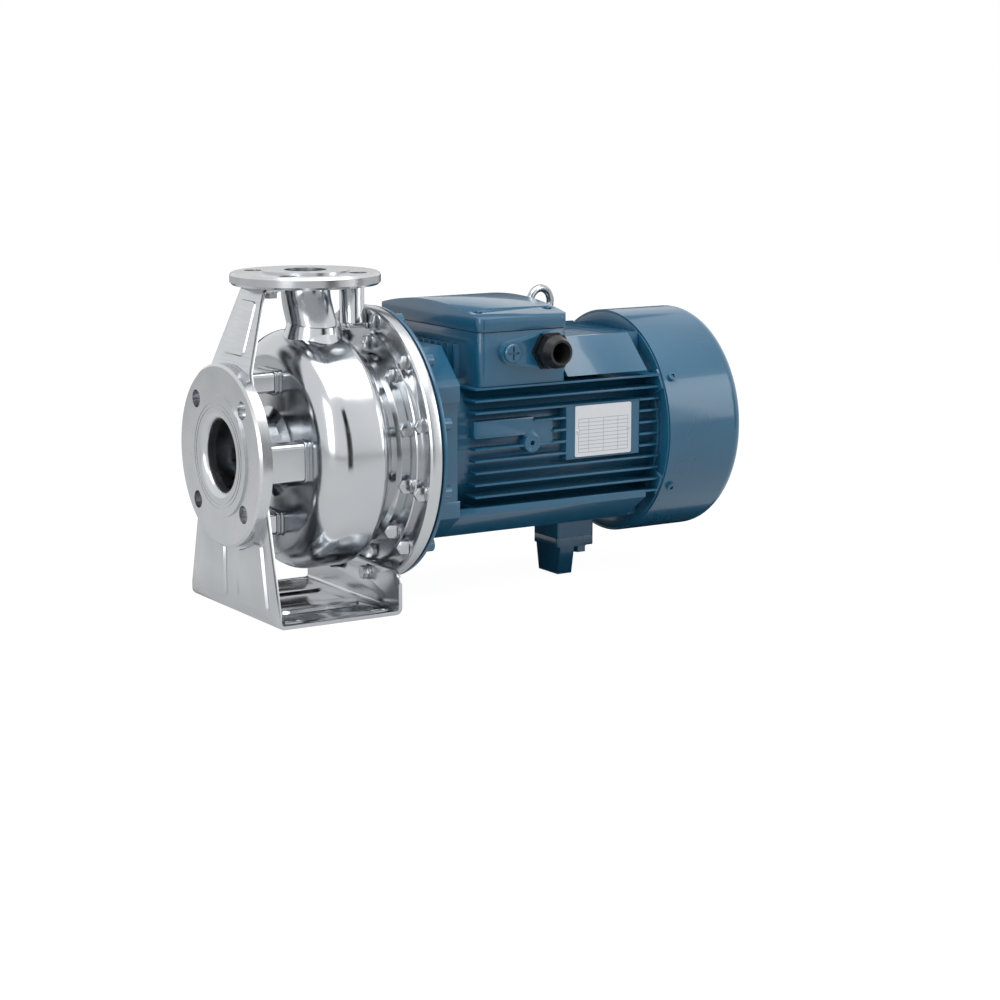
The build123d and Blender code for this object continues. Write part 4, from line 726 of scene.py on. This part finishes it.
    def hide_from_camera(
        self,
        name: str,
        spot: tuple[float, float, float],
        size: tuple[float, float],
        turn: tuple[float, float, float],
        material: bpy.types.Material,
    ) -> None:
        """Place one flag that neither the camera nor the shadows see, so it shows only as a painted dark reflection.

        Args:
            name: Name of the flag.
            spot: Its middle.
            size: Its width and height.
            turn: Its turn as Euler angles.
            material: Its dark surface, a painted dark reflection.
        """
        clear_selection()
        bpy.ops.mesh.primitive_plane_add(size=1.0, location=(0, 0, 0))
        flag = bpy.context.object
        flag.scale = (size[0], size[1], 1.0)
        flag.location = spot
        flag.rotation_euler = turn
        settle(flag, name)
        flag.data.materials.append(material)
        flag.visible_camera = False
        flag.visible_diffuse = False
        flag.visible_shadow = False

    def hang_lamps(self) -> None:
        """Hang soft rectangular lamps that look at the pump."""
        for name, spot, size, power in self.lamps:
            data = bpy.data.lights.new(name, "AREA")
            data.shape = "RECTANGLE"
            data.size, data.size_y = size
            data.energy = power
            lamp = bpy.data.objects.new(name, data)
            lamp.location = spot
            lamp.rotation_euler = (Vector(self.target) - Vector(spot)).to_track_quat("-Z", "Y").to_euler()
            bpy.context.scene.collection.objects.link(lamp)

    def build(self) -> None:
        """Set everything that isn't part of the pump."""
        bpy.context.scene.view_settings.view_transform = "Standard"
        self.place_camera()
        self.light_world()
        self.lay_floor()
        self.stand_dark_reflections()
        self.hang_lamps()


@dataclass
class ScrewRing:
    """Hexagon screws with washers, all on one face across the shaft."""

    name: str
    node: str
    face_x: float
    circle: float
    angles: tuple[float, ...]
    across: float = 13.0
    head: float = 5.3
    washer_margin: float = 1.5
    washer: float = 1.6
    slot: str = "stainless_screw"

    def build(self, shelf: FinishShelf) -> bpy.types.Object:
        """Model one screw head, copy it round the circle and join the copies.

        Args:
            shelf: The finishes.

        Returns:
            The finished ring of screws.
        """
        copies = []
        for index, angle in enumerate(self.angles):
            spot = Vector((0, self.circle * MM * math.cos(math.radians(angle)), SHAFT_Z + self.circle * MM * math.sin(math.radians(angle))))
            copies.extend(self.model_head(spot, 17.0 * index))
        clear_selection()
        for part in copies:
            part.select_set(True)
        bpy.context.view_layer.objects.active = copies[0]
        bpy.ops.object.join()
        piece = settle(copies[0], self.name)
        bpy.ops.object.shade_smooth_by_angle(angle=math.radians(28))
        shelf.dress(piece, self.slot)
        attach(piece, Body.FRAME.value)
        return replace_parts(piece, self.node)

    def model_head(self, spot: Vector, turn: float) -> list[bpy.types.Object]:
        """Model one washer and one chamfered head that look toward the suction side.

        Args:
            spot: Place of the screw in the plane of the shaft's cross section.
            turn: Turn of the hexagon in degrees.

        Returns:
            The washer and the head.
        """
        face = self.face_x * MM
        clear_selection()
        bpy.ops.mesh.primitive_cylinder_add(
            vertices=28,
            radius=(self.across / 2 + self.washer_margin) * MM,
            depth=self.washer * MM,
            location=(face - self.washer * MM / 2, spot.y, spot.z),
            rotation=(0, math.pi / 2, 0),
        )
        washer = bpy.context.object
        bpy.ops.object.transform_apply(location=True, rotation=True, scale=True)
        self.round_edges(washer, 0.3)
        clear_selection()
        bpy.ops.mesh.primitive_cylinder_add(
            vertices=6,
            radius=self.across * MM / math.sqrt(3),
            depth=self.head * MM,
            location=(face - (self.washer + self.head / 2) * MM, spot.y, spot.z),
            rotation=(math.radians(turn), math.pi / 2, 0),
        )
        head = bpy.context.object
        bpy.ops.object.transform_apply(location=True, rotation=True, scale=True)
        bpy.ops.object.mode_set(mode="EDIT")
        bpy.ops.mesh.select_all(action="DESELECT")
        bpy.ops.object.mode_set(mode="OBJECT")
        front = min(polygon.center.x for polygon in head.data.polygons)
        for polygon in head.data.polygons:
            polygon.select = abs(polygon.center.x - front) < 1e-6
        bpy.ops.object.mode_set(mode="EDIT")
        bpy.ops.mesh.inset(thickness=0.9 * MM, depth=0.55 * MM)
        bpy.ops.mesh.inset(thickness=1.5 * MM, depth=-0.25 * MM)
        bpy.ops.object.mode_set(mode="OBJECT")
        self.round_edges(head, 0.25)
        return [washer, head]

    def round_edges(self, part: bpy.types.Object, width_mm: float) -> None:
        """Round the sharp edges of a small part.

        Args:
            part: The part to round.
            width_mm: Width of the rounding.
        """
        make_active(part)
        bevel = part.modifiers.new("edge_round", "BEVEL")
        bevel.width = width_mm * MM
        bevel.segments = 2
        bevel.limit_method = "ANGLE"
        bevel.angle_limit = math.radians(24)
        bpy.ops.object.modifier_apply(modifier=bevel.name)


@dataclass
class PaintedCastings:
    """Motor castings and sheet pieces whose edges are rounded under the paint."""

    rounds: dict[str, float] = field(
        default_factory=lambda: {
            "motor_housing": 0.55,
            "motor_bracket": 1.2,
            "rear_endshield": 0.8,
            "terminal_box": 0.9,
            "terminal_lid": 2.6,
            "motor_support": 1.0,
        }
    )

    def build(self, shelf: FinishShelf, slots: dict[str, str]) -> list[bpy.types.Object]:
        """Make the rounded copies.

        Args:
            shelf: The finishes.
            slots: The record's slot of each node.

        Returns:
            The new pieces.
        """
        pieces = []
        for node, width in self.rounds.items():
            piece = softened_copy(node, f"{node}_cast", width)
            shelf.dress(piece, slots[node])
            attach(piece, Body.FRAME.value)
            pieces.append(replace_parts(piece, node))
        return pieces


@dataclass
class PumpSteel:
    """Stainless pieces of the pump whose edges are broken as after grinding."""

    rounds: dict[str, float] = field(
        default_factory=lambda: {
            "foot_bracket": 0.5,
            "suction_stays": 0.8,
            "adapter_ring": 0.4,
            "discharge_stay": 0.5,
        }
    )

    def build(self, shelf: FinishShelf, slots: dict[str, str]) -> list[bpy.types.Object]:
        """Make the rounded copies.

        Args:
            shelf: The finishes.
            slots: The record's slot of each node.

        Returns:
            The new pieces.
        """
        pieces = []
        for node, width in self.rounds.items():
            piece = softened_copy(node, f"{node}_ground", width)
            shelf.dress(piece, slots[node])
            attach(piece, Body.FRAME.value)
            pieces.append(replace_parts(piece, node))
        return pieces


@dataclass
class LiftingEye:
    """Forged eye bolt with a round wire on a short collar."""

    centre: tuple[float, float, float] = (279.3, 0.0, 293.5)
    ring_radius: float = 14.0
    wire_radius: float = 4.0
    turn: float = 8.0
    seat_z: float = 271.0
    collar_radius: float = 10.0
    collar_height: float = 6.0
    slot: str = "zinc_steel"

    def build(self, shelf: FinishShelf) -> bpy.types.Object:
        """Model the ring and its collar.

        Args:
            shelf: The finishes.

        Returns:
            The finished eye.
        """
        clear_selection()
        bpy.ops.mesh.primitive_torus_add(
            major_radius=self.ring_radius * MM,
            minor_radius=self.wire_radius * MM,
            major_segments=64,
            minor_segments=24,
            location=tuple(value * MM for value in self.centre),
            rotation=(math.pi / 2, 0, math.radians(self.turn)),
        )
        ring = bpy.context.object
        bpy.ops.object.transform_apply(location=True, rotation=True, scale=True)
        clear_selection()
        bpy.ops.mesh.primitive_cone_add(
            vertices=48,
            radius1=self.collar_radius * MM,
            radius2=(self.collar_radius - 1.3) * MM,
            depth=self.collar_height * MM,
            location=(self.centre[0] * MM, 0, (self.seat_z + self.collar_height / 2) * MM),
        )
        collar = bpy.context.object
        bpy.ops.object.transform_apply(location=True, rotation=True, scale=True)
        bevel = collar.modifiers.new("edge_round", "BEVEL")
        bevel.width = 1.2 * MM
        bevel.segments = 3
        bevel.limit_method = "ANGLE"
        bpy.ops.object.modifier_apply(modifier=bevel.name)
        make_active(ring)
        collar.select_set(True)
        bpy.ops.object.join()
        piece = settle(ring, "lifting_eye_forged")
        bpy.ops.object.shade_smooth_by_angle(angle=math.radians(40))
        shelf.dress(piece, self.slot)
        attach(piece, Body.FRAME.value)
        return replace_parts(piece, "lifting_eye")


@dataclass
class WeldBead:
    """A fillet weld that runs round a tube or stay."""

    name: str
    centre: tuple[float, float, float]
    half: tuple[float, float]
    corner: float
    normal: str = "x"
    turn: float = 0.0
    wire: float = 0.9
    slot: str = "stainless_screw"

    def build(self, shelf: FinishShelf) -> bpy.types.Object:
        """Shape the path from a flat face and give it a round wire.

        Args:
            shelf: The finishes.

        Returns:
            The finished bead.
        """
        clear_selection()
        bpy.ops.mesh.primitive_plane_add(size=2.0, location=(0, 0, 0))
        path = bpy.context.object
        path.scale = (self.half[0] * MM, self.half[1] * MM, 1.0)
        bpy.ops.object.transform_apply(location=False, rotation=False, scale=True)
        bpy.ops.object.mode_set(mode="EDIT")
        bpy.ops.mesh.select_all(action="SELECT")
        bpy.ops.mesh.bevel(offset=self.corner * MM, segments=8, affect="VERTICES")
        bpy.ops.mesh.select_all(action="SELECT")
        bpy.ops.mesh.delete(type="ONLY_FACE")
        bpy.ops.object.mode_set(mode="OBJECT")
        bpy.ops.object.convert(target="CURVE")
        path = bpy.context.object
        path.data.bevel_depth = self.wire * MM
        path.data.bevel_resolution = 3
        bpy.ops.object.convert(target="MESH")
        bead = bpy.context.object
        quarter = math.pi / 2
        bead.rotation_euler = (0, quarter, 0) if self.normal == "x" else (0, 0, 0)
        bpy.ops.object.transform_apply(location=False, rotation=True, scale=False)
        if self.turn:
            bead.rotation_euler = (math.radians(self.turn), 0, 0)
            bpy.ops.object.transform_apply(location=False, rotation=True, scale=False)
        bead.location = tuple(value * MM for value in self.centre)
        piece = settle(bead, self.name)
        bpy.ops.object.shade_smooth_by_angle(angle=math.radians(60))
        shelf.dress(piece, self.slot)
        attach(piece, Body.FRAME.value)
        return piece


@dataclass
class CoverLip:
    """Turned-in front edge of the fan cover, a flat ring that meets the rear end shield."""

    front: float = 366.5
    outer: float = 117.4
    inner: float = 100.5
    sheet: float = 2.0
    slot: str = "motor_paint"

    def build(self, shelf: FinishShelf) -> bpy.types.Object:
        """Model the ring from a flat disc with its middle taken out.

        Args:
            shelf: The finishes.

        Returns:
            The finished ring.
        """
        clear_selection()
        bpy.ops.mesh.primitive_circle_add(
            vertices=128,
            radius=self.outer * MM,
            fill_type="NGON",
            location=(self.front * MM, 0, SHAFT_Z),
            rotation=(0, math.pi / 2, 0),
        )
        ring = bpy.context.object
        bpy.ops.object.transform_apply(location=True, rotation=True, scale=True)
        bpy.ops.object.mode_set(mode="EDIT")
        bpy.ops.mesh.select_all(action="SELECT")
        bpy.ops.mesh.inset(thickness=(self.outer - self.inner) * MM)
        bpy.ops.mesh.delete(type="FACE")
        bpy.ops.object.mode_set(mode="OBJECT")
        wall = ring.modifiers.new("sheet", "SOLIDIFY")
        wall.thickness = self.sheet * MM
        wall.offset = -1.0
        bpy.ops.object.modifier_apply(modifier=wall.name)
        bevel = ring.modifiers.new("edge_round", "BEVEL")
        bevel.width = 0.8 * MM
        bevel.segments = 3
        bevel.limit_method = "ANGLE"
        bpy.ops.object.modifier_apply(modifier=bevel.name)
        piece = settle(ring, "fan_cover_lip")
        bpy.ops.object.shade_smooth_by_angle(angle=math.radians(40))
        shelf.dress(piece, self.slot)
        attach(piece, Body.FRAME.value)
        return piece


def stay_beads() -> list[WeldBead]:
    """List the welds at the drum's end of the four stays.

    Returns:
        One bead for each stay.
    """
    circle, foot_half, front = 71.0, (12.2, 20.2), -45.0
    beads = []
    for index in range(4):
        angle = 90.0 * index
        y = circle * math.cos(math.radians(angle))
        z = 160.0 + circle * math.sin(math.radians(angle))
        half = (foot_half[1], foot_half[0]) if index % 2 == 0 else foot_half
        beads.append(WeldBead(f"stay_weld_{index + 1}", (front, y, z), half, 5.0))
    return beads


def main() -> None:
    """Build the scene in order and report each piece."""
    logging.basicConfig(level=logging.INFO, format="%(name)s: %(message)s")
    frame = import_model()
    slots = {part["node"]: part["material_slot"] for part in frame["record"]["subparts"]}
    shelf = FinishShelf()
    Studio().build()
    painted_over = {"fan_cover_screws", "side_plug", "support_screws", "lid_screws"}
    for node, slot in slots.items():
        shelf.dress(frame["nodes"][node], "motor_paint" if node in painted_over else slot)
    every_thirty = tuple(15.0 + 30.0 * step for step in range(12))
    builders = [
        ScrewRing("casing_screw_heads", "casing_bolts", 57.5, 111.0, every_thirty),
        ScrewRing("adapter_screw_heads", "adapter_bolts", 63.0, 131.5, tuple(a for a in every_thirty if a not in (255.0, 285.0))),
        ScrewRing("foot_screw_heads", "foot_bolts", 49.4, 131.5, (255.0, 285.0)),
    ]
    builders.append(LiftingEye())
    builders.append(CoverLip())
    builders.extend(stay_beads())
    for builder in builders:
        LOG.info("built %s", builder.build(shelf).name)
    for piece in PaintedCastings().build(shelf, slots) + PumpSteel().build(shelf, slots):
        LOG.info("built %s with %d faces", piece.name, len(piece.data.polygons))


if __name__ == "__main__":
    main()
